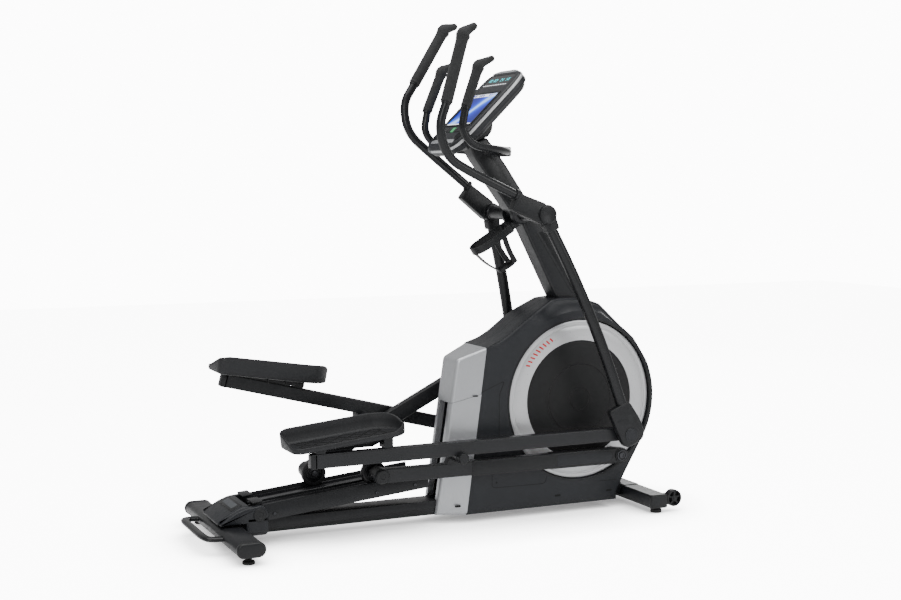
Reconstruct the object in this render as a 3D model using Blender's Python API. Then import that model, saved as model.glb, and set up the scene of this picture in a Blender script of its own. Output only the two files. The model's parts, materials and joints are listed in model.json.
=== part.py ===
"""Front-drive elliptical trainer with a power ramp, built as separate working pieces.

Own frame: +X forward (towards the flywheel housing), +Y the user's left, +Z up, metres.
All pieces are laid out from the crank axle's foot on the floor; an empty carries that point
forward so that the world origin is under the middle of the whole machine.
"""

import math

import bmesh
import bpy
from mathutils import Matrix, Vector

# ---------------------------------------------------------------- driving dimensions
GAP = 0.0003                      # clearance between two pieces that touch
RIGHT, LEFT = -1, 1               # sides, as the sign of Y
ORIGIN_SHIFT = 0.534              # crank axle ahead of the machine's middle

CRANK_Z = 0.4016                  # crank axle height
CRANK_RADIUS = 0.2396             # axle to pin
CRANK_ANGLE = math.radians(-56.85)  # right pin above the forward horizontal
DISC_RADIUS = 0.2098              # dark inner disc of the crank cover
RING_RADIUS = 0.2839              # bright outer ring of the crank cover
DISC_Y = (0.0745, 0.0820)         # inner and outer face of disc and ring
CRANK_ARM_Y = (0.0620, 0.0740)

ROLLER_ARM_LENGTH = 0.9196        # crank pin to roller axle
ROLLER_ARM_Y = (0.125, 0.155)
ROLLER_ARM_HEIGHT = 0.050
KNOB_ALONG = 0.651                # crank pin to arm pivot, along the roller arm
KNOB_RISE = 0.050                 # arm pivot above the roller arm's centre line
WHEEL_RADIUS = 0.042
WHEEL_Y = (0.0575, 0.0825)

RAMP_PIVOT = (-1.195, 0.105)      # x, z of the ramp's rear hinge
RAMP_ANGLE = math.radians(5.8)    # lowest setting of the ramp
TRACK_POINT = (-0.789, 0.1605)    # a point on the track's surface
RAMP_HALF_WIDTH = 0.100
RAMP_END_X = (-1.205, -0.600)
LIFT_X = -0.440                   # centre line of the ramp's lift

SWING_PIVOT = (-0.214, 1.065)     # x, z of the upper pivot axle
SWING_LENGTH = 0.849              # upper pivot to pedal arm pivot
SWING_Y = 0.211
PEDAL_ARM_TO_KNOB = 0.644         # swing pivot back to arm pivot, along the pedal arm
PEDAL_ARM_DROP = 0.030            # arm pivot below the pedal arm's centre line
PEDAL_ARM_Y = (0.165, 0.200)
PEDAL_ARM_HEIGHT = 0.048
PEDAL_ARM_REAR = -1.175
PEDAL_Y = (0.030, 0.205)
PEDAL_LENGTH = 0.410
PEDAL_CENTRE = -1.025             # along the pedal arm from the swing pivot
PEDAL_RISE = 0.043                # pedal underside above the pedal arm's centre line
PEDAL_TILT = math.radians(5.35)

HOUSING_Y = 0.093                 # outer face of the side covers
WALL = 0.003
HOUSING_BOTTOM = 0.028
HOUSING_REAR = ((-0.552, HOUSING_BOTTOM), (-0.4735, 0.564))
SILVER_SEAM = ((-0.451, HOUSING_BOTTOM), (-0.374, 0.604))
REAR_TAPER = 0.34
SLOT_Y = 0.034
RIM_RADIUS = 0.301                # side cover's edge around the crank axle
OPENING_RADIUS = 0.292

TUBE_WALL = 0.004
BEAM_Y = 0.045
BEAM_Z = (0.028, 0.078)
REAR_X = -1.287                   # centre line of the rear stabilizer
FRONT_X = 0.2335                  # centre line of the front stabilizer
WHEEL_AXLE = (0.2985, 0.048)      # transport wheels

FLYWHEEL = (-0.215, 0.360)
FLYWHEEL_RADIUS = 0.125
DRIVE_RADIUS = 0.120
DRIVEN_RADIUS = 0.020
BELT_Y = (0.018, 0.034)

MAST_Y = 0.0425
CONSOLE_TILT = math.radians(45.0)
CONSOLE_CENTRE = (-0.385, 1.4285)  # centre of the console's face
CONSOLE_SIZE = (0.400, 0.268)      # up the face, across
CONSOLE_THICK = 0.036

# ---------------------------------------------------------------- materials
FINISHES = {
    "frame_black": ((0.022, 0.023, 0.025), 0.38, 0.2),
    "cover_black": ((0.020, 0.021, 0.023), 0.45, 0.0),
    "silver": ((0.52, 0.53, 0.55), 0.38, 0.3),
    "disc_black": ((0.012, 0.012, 0.013), 0.55, 0.0),
    "rubber": ((0.015, 0.015, 0.015), 0.80, 0.0),
    "grip": ((0.018, 0.018, 0.019), 0.75, 0.0),
    "tread": ((0.025, 0.026, 0.028), 0.65, 0.0),
    "steel": ((0.55, 0.55, 0.56), 0.30, 1.0),
    "bronze": ((0.45, 0.30, 0.14), 0.40, 1.0),
    "screen": ((0.02, 0.05, 0.25), 0.15, 0.0),
    "button_green": ((0.05, 0.35, 0.12), 0.40, 0.0),
}


def material(name):
    found = bpy.data.materials.get(name)
    if found:
        return found
    colour, roughness, metallic = FINISHES[name]
    made = bpy.data.materials.new(name)
    made.use_nodes = True
    shader = made.node_tree.nodes["Principled BSDF"]
    shader.inputs["Base Color"].default_value = (*colour, 1.0)
    shader.inputs["Roughness"].default_value = roughness
    shader.inputs["Metallic"].default_value = metallic
    made.diffuse_color = (*colour, 1.0)
    return made


# ---------------------------------------------------------------- plane geometry (x, z)
def turned(point, angle, origin=(0.0, 0.0)):
    """The point turned about (0, 0) and then moved by origin."""
    c, s = math.cos(angle), math.sin(angle)
    return (origin[0] + c * point[0] - s * point[1], origin[1] + s * point[0] + c * point[1])


def arc(centre, radius, start, stop, steps):
    """Points on a circle, angles in degrees."""
    angles = [math.radians(start + (stop - start) * i / steps) for i in range(steps + 1)]
    return [(centre[0] + radius * math.cos(a), centre[1] + radius * math.sin(a)) for a in angles]


def inset(outline, distance):
    """The outline moved inwards by distance, with mitred corners."""
    area = sum(a[0] * b[1] - b[0] * a[1] for a, b in zip(outline, outline[1:] + outline[:1]))
    sign = 1.0 if area > 0 else -1.0
    result = []
    for i, point in enumerate(outline):
        before, after = Vector(outline[i - 1]), Vector(outline[(i + 1) % len(outline)])
        here = Vector(point)
        first, second = (here - before).normalized(), (after - here).normalized()
        normal_a = Vector((-first.y, first.x)) * sign
        normal_b = Vector((-second.y, second.x)) * sign
        middle = (normal_a + normal_b).normalized()
        result.append(tuple(here + middle * (distance / max(middle.dot(normal_a), 0.3))))
    return result


def circles_meet(centre_a, radius_a, centre_b, radius_b):
    """The forward one of the two points where two circles meet."""
    a, b = Vector(centre_a), Vector(centre_b)
    gap = (b - a).length
    along = (radius_a ** 2 - radius_b ** 2 + gap ** 2) / (2.0 * gap)
    height = math.sqrt(radius_a ** 2 - along ** 2)
    unit = (b - a) / gap
    middle = a + unit * along
    side = Vector((-unit.y, unit.x)) * height
    return tuple(max(middle + side, middle - side, key=lambda p: p.x))


def track_height(x):
    """Height of the track's surface at x."""
    return TRACK_POINT[1] + (x - TRACK_POINT[0]) * math.tan(RAMP_ANGLE)


def linkage(side):
    """Joint places of one side at rest, as (x, z), and the angles of its links."""
    angle = CRANK_ANGLE if side == RIGHT else CRANK_ANGLE + math.pi
    pin = turned((CRANK_RADIUS, 0.0), angle, (0.0, CRANK_Z))
    axle_rise = WHEEL_RADIUS / math.cos(RAMP_ANGLE)
    low, high = pin[0] - ROLLER_ARM_LENGTH, pin[0] - 0.5 * ROLLER_ARM_LENGTH
    for _ in range(50):
        x = 0.5 * (low + high)
        reach = math.hypot(pin[0] - x, pin[1] - track_height(x) - axle_rise)
        low, high = (x, high) if reach > ROLLER_ARM_LENGTH else (low, x)
    roller = (x, track_height(x) + axle_rise)
    arm_angle = math.atan2(pin[1] - roller[1], pin[0] - roller[0])
    knob = turned((-KNOB_ALONG, KNOB_RISE), arm_angle, pin)
    pedal_reach = math.hypot(PEDAL_ARM_TO_KNOB, PEDAL_ARM_DROP)
    lower = circles_meet(knob, pedal_reach, SWING_PIVOT, SWING_LENGTH)
    swing_angle = math.atan2(lower[0] - SWING_PIVOT[0], SWING_PIVOT[1] - lower[1])
    line = math.atan2(lower[1] - knob[1], lower[0] - knob[0])
    pedal_angle = line - math.atan2(PEDAL_ARM_DROP, PEDAL_ARM_TO_KNOB)
    return {"pin": pin, "roller": roller, "knob": knob, "lower": lower,
            "arm_angle": arm_angle, "swing_angle": swing_angle, "pedal_angle": pedal_angle}


# ---------------------------------------------------------------- mesh helpers
def machine():
    """The empty that carries the layout from the crank axle to the world origin."""
    found = bpy.data.objects.get("crank_foot")
    if found:
        return found
    empty = bpy.data.objects.new("crank_foot", None)
    empty.location = (ORIGIN_SHIFT, 0.0, 0.0)
    bpy.context.collection.objects.link(empty)
    return empty


def place(name, bm, finish, pivot=(0.0, 0.0), cutter=False):
    """Turn a bmesh into an object whose origin is on its joint's axis, at (x, z)."""
    origin = Vector((pivot[0], 0.0, pivot[1]))
    bmesh.ops.recalc_face_normals(bm, faces=bm.faces)
    bmesh.ops.translate(bm, verts=bm.verts, vec=-origin)
    mesh = bpy.data.meshes.new(name)
    bm.to_mesh(mesh)
    bm.free()
    mesh.shade_smooth()
    mesh.set_sharp_from_angle(angle=math.radians(30.0))
    obj = bpy.data.objects.new(name, mesh)
    obj.location = origin
    obj.parent = machine()
    bpy.context.collection.objects.link(obj)
    if cutter:
        obj.hide_render = True
        obj.display_type = "WIRE"
    else:
        mesh.materials.append(material(finish))
    return obj


def prism(outline, y_low, y_high, bm=None):
    """The (x, z) outline extruded along Y."""
    bm = bm or bmesh.new()
    ring = [bm.verts.new((x, y_low, z)) for x, z in outline]
    face = bm.faces.new(ring)
    moved = bmesh.ops.extrude_face_region(bm, geom=[face])["geom"]
    verts = [item for item in moved if isinstance(item, bmesh.types.BMVert)]
    bmesh.ops.translate(bm, verts=verts, vec=(0.0, y_high - y_low, 0.0))
    return bm


def block(x_range, y_range, z_range, bm=None):
    (x0, x1), (z0, z1) = x_range, z_range
    return prism([(x0, z0), (x1, z0), (x1, z1), (x0, z1)], *y_range, bm=bm)


def disc(centre, radius, y_low, y_high, segments=24, bm=None):
    return prism(arc(centre, radius, 0.0, 360.0 * (segments - 1) / segments, segments - 1),
                 y_low, y_high, bm=bm)


def ring(centre, outer, inner, y_low, y_high, segments=24, bm=None):
    """A flat washer with its axis along Y."""
    bm = bm or bmesh.new()
    stop = 360.0 * (segments - 1) / segments
    rows = []
    for radius, y in ((outer, y_low), (outer, y_high), (inner, y_high), (inner, y_low)):
        points = arc(centre, radius, 0.0, stop, segments - 1)
        rows.append([bm.verts.new((x, y, z)) for x, z in points])
    for row, following in zip(rows, rows[1:] + rows[:1]):
        for i in range(segments):
            j = (i + 1) % segments
            bm.faces.new((row[i], row[j], following[j], following[i]))
    return bm


def sides(side, y_range):
    """A Y range on one side, low value first."""
    return tuple(sorted((side * y_range[0], side * y_range[1])))


def upright(x, y, radius, z_low, z_high, segments=16, bm=None):
    """A cylinder with its axis along Z."""
    bm = bm or bmesh.new()
    matrix = Matrix.Translation((x, y, 0.5 * (z_low + z_high)))
    bmesh.ops.create_cone(bm, cap_ends=True, segments=segments, radius1=radius, radius2=radius,
                          depth=z_high - z_low, matrix=matrix)
    return bm


def combine(target, other, operation):
    """Join or cut the target with another object, which stays as a hidden helper."""
    other.hide_render = True
    other.display_type = "WIRE"
    modifier = target.modifiers.new(operation.lower(), "BOOLEAN")
    modifier.operation = operation
    modifier.solver = "EXACT"
    modifier.object = other
    return target


def cut(target, bm):
    name = f"{target.name}_cutter_{len(target.modifiers)}"
    return combine(target, place(name, bm, None, cutter=True), "DIFFERENCE")


def join(target, bm):
    name = f"{target.name}_boss_{len(target.modifiers)}"
    return combine(target, place(name, bm, None, cutter=True), "UNION")


def soften(obj, width, segments=1):
    modifier = obj.modifiers.new("edges", "BEVEL")
    modifier.width = width
    modifier.segments = segments
    modifier.limit_method = "ANGLE"
    modifier.angle_limit = math.radians(40.0)
    return obj


def rounded_path(points, radius, steps=4):
    """A chain of 3-D points with each inner corner replaced by a short curve."""
    points = [Vector(p) for p in points]
    path = [points[0]]
    for before, corner, after in zip(points, points[1:], points[2:]):
        reach = min(radius, 0.45 * (corner - before).length, 0.45 * (after - corner).length)
        start = corner + (before - corner).normalized() * reach
        stop = corner + (after - corner).normalized() * reach
        for i in range(steps + 1):
            t = i / steps
            path.append(start * (1 - t) ** 2 + corner * 2 * t * (1 - t) + stop * t ** 2)
    path.append(points[-1])
    return path


def tube(name, path, radius, finish, pivot=(0.0, 0.0), sides_around=12):
    """A round bar along a path, closed at both ends, as a swept mesh."""
    bm = bmesh.new()
    normal = Vector((0.0, 1.0, 0.0))
    rows = []
    for i, point in enumerate(path):
        ahead = path[min(i + 1, len(path) - 1)]
        behind = path[max(i - 1, 0)]
        tangent = (ahead - behind).normalized()
        normal = (normal - tangent * normal.dot(tangent)).normalized()
        binormal = tangent.cross(normal)
        row = []
        for k in range(sides_around):
            a = 2.0 * math.pi * k / sides_around
            row.append(bm.verts.new(point + (normal * math.cos(a) + binormal * math.sin(a)) * radius))
        rows.append(row)
    for row, following in zip(rows, rows[1:]):
        for k in range(sides_around):
            j = (k + 1) % sides_around
            bm.faces.new((row[k], row[j], following[j], following[k]))
    bm.faces.new(rows[0])
    bm.faces.new(rows[-1])
    return place(name, bm, finish, pivot)


# ---------------------------------------------------------------- base frame
def base_frame():
    stabilizer_front = (FRONT_X - 0.0335, FRONT_X + 0.0335)
    beam_x = (REAR_X + 0.046 + GAP, stabilizer_front[0] - GAP)
    beam = place("main_beam", block(beam_x, (-BEAM_Y, BEAM_Y), BEAM_Z), "frame_black")
    soften(beam, 0.003)
    cut(beam, block((beam_x[0] - 0.01, beam_x[1] + 0.01), (-BEAM_Y + TUBE_WALL, BEAM_Y - TUBE_WALL),
                    (BEAM_Z[0] + TUBE_WALL, BEAM_Z[1] - TUBE_WALL)))

    front = place("front_stabilizer", block(stabilizer_front, (-0.250, 0.250), (0.018, 0.066)),
                  "frame_black")
    soften(front, 0.003)
    for side in (RIGHT, LEFT):
        join(front, upright(FRONT_X, side * 0.225, 0.020, 0.0, 0.030))
        ear = sides(side, (0.205, 0.2185))
        join(front, block((FRONT_X + 0.020, WHEEL_AXLE[0] + 0.012), ear, (0.034, 0.062)))
        join(front, disc(WHEEL_AXLE, 0.006, *sides(side, (0.210, 0.2475)), segments=12))

    rear = place("rear_stabilizer", prism(oval(REAR_X, 0.049, 0.046, 0.023), -0.330, 0.330),
                 "frame_black")
    soften(rear, 0.004)

    path = rounded_path([(REAR_X - 0.0465, 0.150, 0.050), (-1.375, 0.150, 0.052), (-1.385, 0.110, 0.054),
                         (-1.385, -0.110, 0.054), (-1.375, -0.150, 0.052),
                         (REAR_X - 0.0465, -0.150, 0.050)], 0.03, 3)
    tube("lift_handle", path, 0.011, "frame_black")

    for side, word in ((RIGHT, "right"), (LEFT, "left")):
        levelling_foot(side, word)
        transport_wheel(side, word)


def oval(x, z, half_width, half_height):
    """A flat tube's outline with round ends."""
    reach = half_width - half_height
    return (arc((x + reach, z), half_height, -90.0, 90.0, 8)
            + arc((x - reach, z), half_height, 90.0, 270.0, 8))


def levelling_foot(side, word):
    y = side * 0.290
    foot = place(f"levelling_foot_{word}", upright(REAR_X, y, 0.020, 0.0, 0.012), "rubber",
                 (REAR_X, 0.0))
    join(foot, upright(REAR_X, y, 0.006, 0.006, 0.026 - GAP, segments=12))


def transport_wheel(side, word):
    y = sides(side, (0.2195, 0.2465))
    place(f"transport_wheel_{word}", ring(WHEEL_AXLE, 0.030, 0.0064, *y), "rubber", WHEEL_AXLE)


def rear_cover():
    """Cover over the rear stabilizer, with two plates that hold the ramp's hinge."""
    top = BEAM_Z[1] + GAP
    wedge = [(-1.330, top), (-1.224, top), (-1.224, 0.134), (-1.245, 0.134), (-1.330, 0.088)]
    cover = place("rear_cover", prism(wedge, -0.112, 0.112), "cover_black")
    plate = [(-1.240, top), (-1.168, top)] + arc(RAMP_PIVOT, 0.030, 0.0, 180.0, 8)
    for side in (RIGHT, LEFT):
        join(cover, prism(plate, *sides(side, (0.1035, 0.1120))))


# ---------------------------------------------------------------- ramp and its lift
def along_track(distance, rise):
    """A point at a distance along the track from TRACK_POINT and a rise above its surface."""
    return turned((distance, rise), RAMP_ANGLE, TRACK_POINT)


def ramp():
    """A channel with two tracks, end stops and the tongue that the lift pushes."""
    cosine = math.cos(RAMP_ANGLE)
    start, stop = ((x - TRACK_POINT[0]) / cosine for x in RAMP_END_X)
    half = RAMP_HALF_WIDTH
    section = [(-half, -0.040), (-half, 0.014), (-half + 0.008, 0.014), (-half + 0.008, 0.0),
               (-0.012, 0.0), (-0.012, 0.010)]
    section += [(-y, rise) for y, rise in reversed(section)]
    section += [(half - 0.006, -0.040), (half - 0.006, -0.006),
                (-half + 0.006, -0.006), (-half + 0.006, -0.040)]
    bm = bmesh.new()
    ends = []
    for distance in (start, stop):
        points = [(along_track(distance, rise), y) for y, rise in section]
        ends.append([bm.verts.new((x, y, z)) for (x, z), y in points])
    count = len(section)
    for i in range(count):
        j = (i + 1) % count
        bm.faces.new((ends[0][i], ends[0][j], ends[1][j], ends[1][i]))
    bm.faces.new(ends[0])
    bm.faces.new(ends[1])
    obj = place("ramp", bm, "frame_black", RAMP_PIVOT)
    tongue = [along_track(stop - 0.030, -0.003), along_track(stop - 0.030, -0.034),
              along_track(0.375, -0.034), along_track(0.375, -0.003)]
    join(obj, prism(tongue, -0.030, 0.030))
    for side in (RIGHT, LEFT):
        stop_block = [along_track(start + 0.002, -0.003), along_track(start + 0.026, -0.003),
                      along_track(start + 0.020, 0.022), along_track(start + 0.002, 0.022)]
        join(obj, prism(stop_block, *sides(side, (0.030, 0.080))))


def ramp_lift():
    """A lift motor with a closed tube, and the rod that it drives up and down."""
    tube_z = (0.350, 0.536)
    body = place("incline_actuator", upright(LIFT_X, 0.0, 0.020, *tube_z, segments=20), "cover_black")
    cut(body, upright(LIFT_X, 0.0, 0.0125, tube_z[0] - 0.01, tube_z[1] - 0.008))
    join(body, block((-0.426, -0.345), (-0.034, 0.034), (0.498, 0.534)))
    foot_z = along_track((LIFT_X - TRACK_POINT[0]) / math.cos(RAMP_ANGLE), -0.003)[1]
    eye = (LIFT_X, foot_z + 0.008 / math.cos(RAMP_ANGLE) + 0.0008)
    rod = place("incline_rod", disc(eye, 0.008, -0.020, 0.020, segments=16), "steel", eye)
    join(rod, upright(LIFT_X, 0.0, 0.0115, eye[1] + 0.002, eye[1] + 0.186))


# ---------------------------------------------------------------- drive inside the housing
def crank_support():
    """Two side plates on one foot, which carry the crank, the flywheel and the mast."""
    foot_z = BEAM_Z[1] + GAP
    plate = [(-0.270, foot_z), (0.120, foot_z), (0.130, 0.450), (0.135, 0.600), (0.090, 0.700),
             (-0.030, 0.700), (-0.045, 0.520), (-0.160, 0.430), (-0.250, 0.400)]
    obj = place("crank_support", prism(plate, -0.056, 0.056), "frame_black")
    cut(obj, block((-0.40, 0.30), (-0.050, 0.050), (foot_z + 0.006, 0.80)))
    cut(obj, disc((0.0, CRANK_Z), 0.0128, -0.1, 0.1, segments=20))
    cut(obj, disc(FLYWHEEL, 0.0090, -0.1, 0.1, segments=16))


def drive():
    centre = (0.0, CRANK_Z)
    place("crank_axle", disc(centre, 0.0125, -0.0617, 0.0617), "steel", centre)
    pulley = ring(centre, DRIVE_RADIUS, 0.0128, *BELT_Y, segments=40)
    place("drive_pulley", pulley, "cover_black", centre)

    wheel = place("flywheel", disc(FLYWHEEL, FLYWHEEL_RADIUS, -0.036, 0.004, segments=40),
                  "steel", FLYWHEEL)
    join(wheel, disc(FLYWHEEL, DRIVEN_RADIUS, 0.0, BELT_Y[1]))
    join(wheel, disc(FLYWHEEL, 0.0085, -0.056, 0.056, segments=16))

    belt = place("drive_belt", prism(belt_outline(0.0045), *BELT_Y), "rubber")
    cut(belt, prism(belt_outline(0.0015), -0.1, 0.1))

    shoe = arc(FLYWHEEL, FLYWHEEL_RADIUS + 0.020, 120.0, 205.0, 10)
    shoe += arc(FLYWHEEL, FLYWHEEL_RADIUS + 0.003, 205.0, 120.0, 10)
    place("brake_magnets", prism(shoe, -0.040, 0.008), "steel")


def belt_outline(thickness):
    """The band around both pulleys, as one closed outline."""
    run = Vector(FLYWHEEL) - Vector((0.0, CRANK_Z))
    heading = math.degrees(math.atan2(run.y, run.x))
    lean = math.degrees(math.acos((DRIVE_RADIUS - DRIVEN_RADIUS) / run.length))
    big = arc((0.0, CRANK_Z), DRIVE_RADIUS + thickness, heading + lean, heading + 360.0 - lean, 24)
    small = arc(FLYWHEEL, DRIVEN_RADIUS + thickness, heading - lean, heading + lean, 10)
    return big + small


def crank(side, word):
    centre = (0.0, CRANK_Z)
    pin = linkage(side)["pin"]
    angle = math.atan2(pin[1] - CRANK_Z, pin[0])
    outline = [turned(p, angle, centre) for p in
               arc((0.0, 0.0), 0.026, 80.0, 280.0, 8) + arc((CRANK_RADIUS, 0.0), 0.019, -80.0, 80.0, 8)]
    arm = place(f"crank_{word}", prism(outline, *sides(side, CRANK_ARM_Y)), "frame_black", centre)
    join(arm, disc(pin, 0.010, *sides(side, (CRANK_ARM_Y[0] + 0.003, 0.1215)), segments=20))

    place(f"crank_disc_{word}", disc(centre, DISC_RADIUS, *sides(side, DISC_Y), segments=48),
          "disc_black", centre)
    cover = ring(centre, RING_RADIUS, DISC_RADIUS + GAP, *sides(side, DISC_Y), segments=48)
    bright = place(f"crank_ring_{word}", cover, "silver", centre)
    cut(bright, disc(pin, 0.016, -0.2, 0.2, segments=20))


# ---------------------------------------------------------------- housing
def side_outline():
    """Side view of the closed housing, from its lower rear corner upwards."""
    centre = (0.0, CRANK_Z)
    slope = [(-0.374, 0.604), (-0.300, 0.633), (-0.206, 0.706)]
    top = arc((-0.045, 0.401), 0.364, 100.0, 68.0, 8)
    shoulder = arc(centre, 0.312, 54.0, 42.0, 2)
    rim = arc(centre, RIM_RADIUS, 30.0, -32.0, 10)
    front = [(0.148, 0.060), (0.148, HOUSING_BOTTOM)]
    return [*HOUSING_REAR] + slope + top + shoulder + rim + front


def on_line(line, z):
    (x0, z0), (x1, z1) = line
    return x0 + (x1 - x0) * (z - z0) / (z1 - z0)


def rear_profile(seam_z):
    """Silver rear piece between the rear edge and the seam, below seam_z."""
    return [HOUSING_REAR[0], (SILVER_SEAM[0][0] - GAP, HOUSING_BOTTOM),
            (on_line(SILVER_SEAM, seam_z[1]) - GAP, seam_z[1]),
            (on_line(HOUSING_REAR, seam_z[0]), seam_z[0])]


def shields():
    outline = side_outline()
    hollow = inset(outline, WALL)
    mast_slot = [(0.188, 0.500), (-0.030, 0.500), (-0.222, 1.000), (-0.032, 1.000)]
    for side, word in ((RIGHT, "right"), (LEFT, "left")):
        shell = place(f"shield_{word}", prism(outline, *sides(side, (0.00015, HOUSING_Y))),
                      "cover_black")
        cut(shell, prism(hollow, *sides(side, (-0.01, HOUSING_Y - WALL))))
        behind = [(-0.700, -0.010), (on_line(SILVER_SEAM, -0.010), -0.010), *SILVER_SEAM,
                  (-0.360, 0.720), (-0.700, 0.720)]
        cut(shell, prism(behind, -0.2, 0.2))
        cut(shell, disc((0.0, CRANK_Z), OPENING_RADIUS, *sides(side, (0.05, 0.2)), segments=48))
        cut(shell, block((-0.7, 0.3), (-BEAM_Y - 0.001, BEAM_Y + 0.001), (-0.1, BEAM_Z[1] + 0.001)))
        cut(shell, prism(mast_slot, -MAST_Y - 0.001, MAST_Y + 0.001))

        profile = prism(rear_profile((0.4135, 0.4440)), *sides(side, (SLOT_Y, HOUSING_Y)))
        lower = place(f"rear_shell_{word}", narrow_rear(profile), "silver")
        cut(lower, narrow_rear(prism(rear_hollow(), *sides(side, (0.0, HOUSING_Y - WALL)))))
        cut(lower, block((-0.7, 0.3), (-BEAM_Y - 0.001, BEAM_Y + 0.001), (-0.1, BEAM_Z[1] + 0.001)))

    cap_outline = [(on_line(HOUSING_REAR, 0.4141), 0.4141),
                   (on_line(SILVER_SEAM, 0.4446) - GAP, 0.4446),
                   (SILVER_SEAM[1][0] - GAP, SILVER_SEAM[1][1]), HOUSING_REAR[1]]
    cap = place("rear_cap", narrow_rear(prism(cap_outline, -HOUSING_Y, HOUSING_Y)), "silver")
    under = [(on_line(HOUSING_REAR, 0.380) + WALL, 0.380), (-0.300, 0.380), (-0.300, 0.6310),
             (HOUSING_REAR[1][0] + WALL, HOUSING_REAR[1][1] - WALL - 0.0012)]
    cut(cap, narrow_rear(prism(under, -HOUSING_Y + WALL, HOUSING_Y - WALL)))


def narrow_rear(bm):
    """Draws the outer sides of a silver piece in toward its rear edge."""
    for vert in bm.verts:
        if abs(vert.co.y) > 0.080:
            behind = on_line(SILVER_SEAM, vert.co.z) - vert.co.x
            vert.co.y -= math.copysign(REAR_TAPER, vert.co.y) * behind
    return bm


def rear_hollow():
    """Inside of a lower silver shell, open to the front and the top."""
    low = HOUSING_BOTTOM + WALL
    return [(on_line(HOUSING_REAR, low) + WALL, low), (-0.300, low), (-0.300, 0.500),
            (on_line(HOUSING_REAR, 0.500) + WALL, 0.500)]


# ---------------------------------------------------------------- mast and controls
def mast():
    outline = [(0.025, 0.600), (-0.068, 0.752), (-0.209, 1.027), (-0.262, 1.085), (-0.395, 1.262),
               (-0.415, 1.308), (-0.346, 1.330), (-0.272, 1.236), (-0.185, 1.110), (-0.080, 1.027),
               (0.065, 0.752), (0.120, 0.600)]
    obj = place("mast", prism(outline, -MAST_Y, MAST_Y), "frame_black")
    soften(obj, 0.006)
    inside = [(0.033, 0.590), (-0.061, 0.752), (-0.196, 1.015), (-0.090, 1.015), (0.058, 0.752),
              (0.116, 0.590)]
    cut(obj, prism(inside, -MAST_Y + TUBE_WALL, MAST_Y - TUBE_WALL))
    join(obj, disc(SWING_PIVOT, 0.026, -0.188, 0.188))
    cut(obj, disc(SWING_PIVOT, 0.0104, -0.3, 0.3, segments=20))
    axle = place("pivot_axle", disc(SWING_PIVOT, 0.0100, -0.240, 0.240, segments=20), "steel")
    for side in (RIGHT, LEFT):
        join(axle, disc(SWING_PIVOT, 0.032, *sides(side, (0.2340, 0.2430))))


def bottle_holder():
    """A loop and a saucer square to the mast, joined by three straps."""
    angle = math.radians(32.0)
    hang = (-0.2265, 1.0215)

    def at(back, rise):
        return turned((-back, rise), angle, hang)

    bm = prism([at(0.0, 0.0), at(0.185, 0.0), at(0.185, 0.018), at(0.0, 0.018)], -0.048, 0.048)
    loop = place("bottle_holder", bm, "cover_black")
    cut(loop, stadium_hole(at, 0.024, 0.178, 0.041, -0.05, 0.05))
    saucer = prism([at(0.055, -0.112), at(0.135, -0.112), at(0.135, -0.102), at(0.055, -0.102)],
                   -0.030, 0.030)
    join(loop, saucer)
    strap(loop, at, (0.125, 0.178), (0.0, 0.0), 0.012)
    for side in (RIGHT, LEFT):
        strap(loop, at, (0.070, 0.062), (side * 0.0266, side * 0.0445), 0.008)


def strap(loop, at, back, across, width):
    """A flat bar from the saucer's edge up to the loop; back and across are (lower end, upper end)."""
    corners = [(back[0] - 0.006, -0.108, across[0]), (back[0] + 0.006, -0.108, across[0]),
               (back[1] + 0.006, 0.009, across[1]), (back[1] - 0.006, 0.009, across[1])]

    def face(shift):
        spots = [(at(behind, rise), y + shift) for behind, rise, y in corners]
        return [(x, y, z) for (x, z), y in spots]

    join(loop, loft(face(-0.5 * width), face(0.5 * width)))


def stadium_hole(at, near, far, half, rise_low, rise_high):
    """A cutter with a round far end, square to the mast."""
    plan = [(near, half), (near, -half)]
    plan += [(far - half + half * math.cos(a), half * math.sin(a))
             for a in (math.radians(-90.0 + 18.0 * i) for i in range(11))]
    bm = bmesh.new()
    rows = []
    for rise in (rise_low, rise_high):
        points = [(at(back, rise), y) for back, y in plan]
        rows.append([bm.verts.new((p[0], y, p[1])) for p, y in points])
    bm.faces.new(rows[0])
    bm.faces.new(rows[1])
    for i in range(len(plan)):
        j = (i + 1) % len(plan)
        bm.faces.new((rows[0][i], rows[0][j], rows[1][j], rows[1][i]))
    return bm


def on_face(up, depth):
    """A point up the console's face and a depth behind it."""
    return turned((up, -depth), CONSOLE_TILT, CONSOLE_CENTRE)


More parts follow.
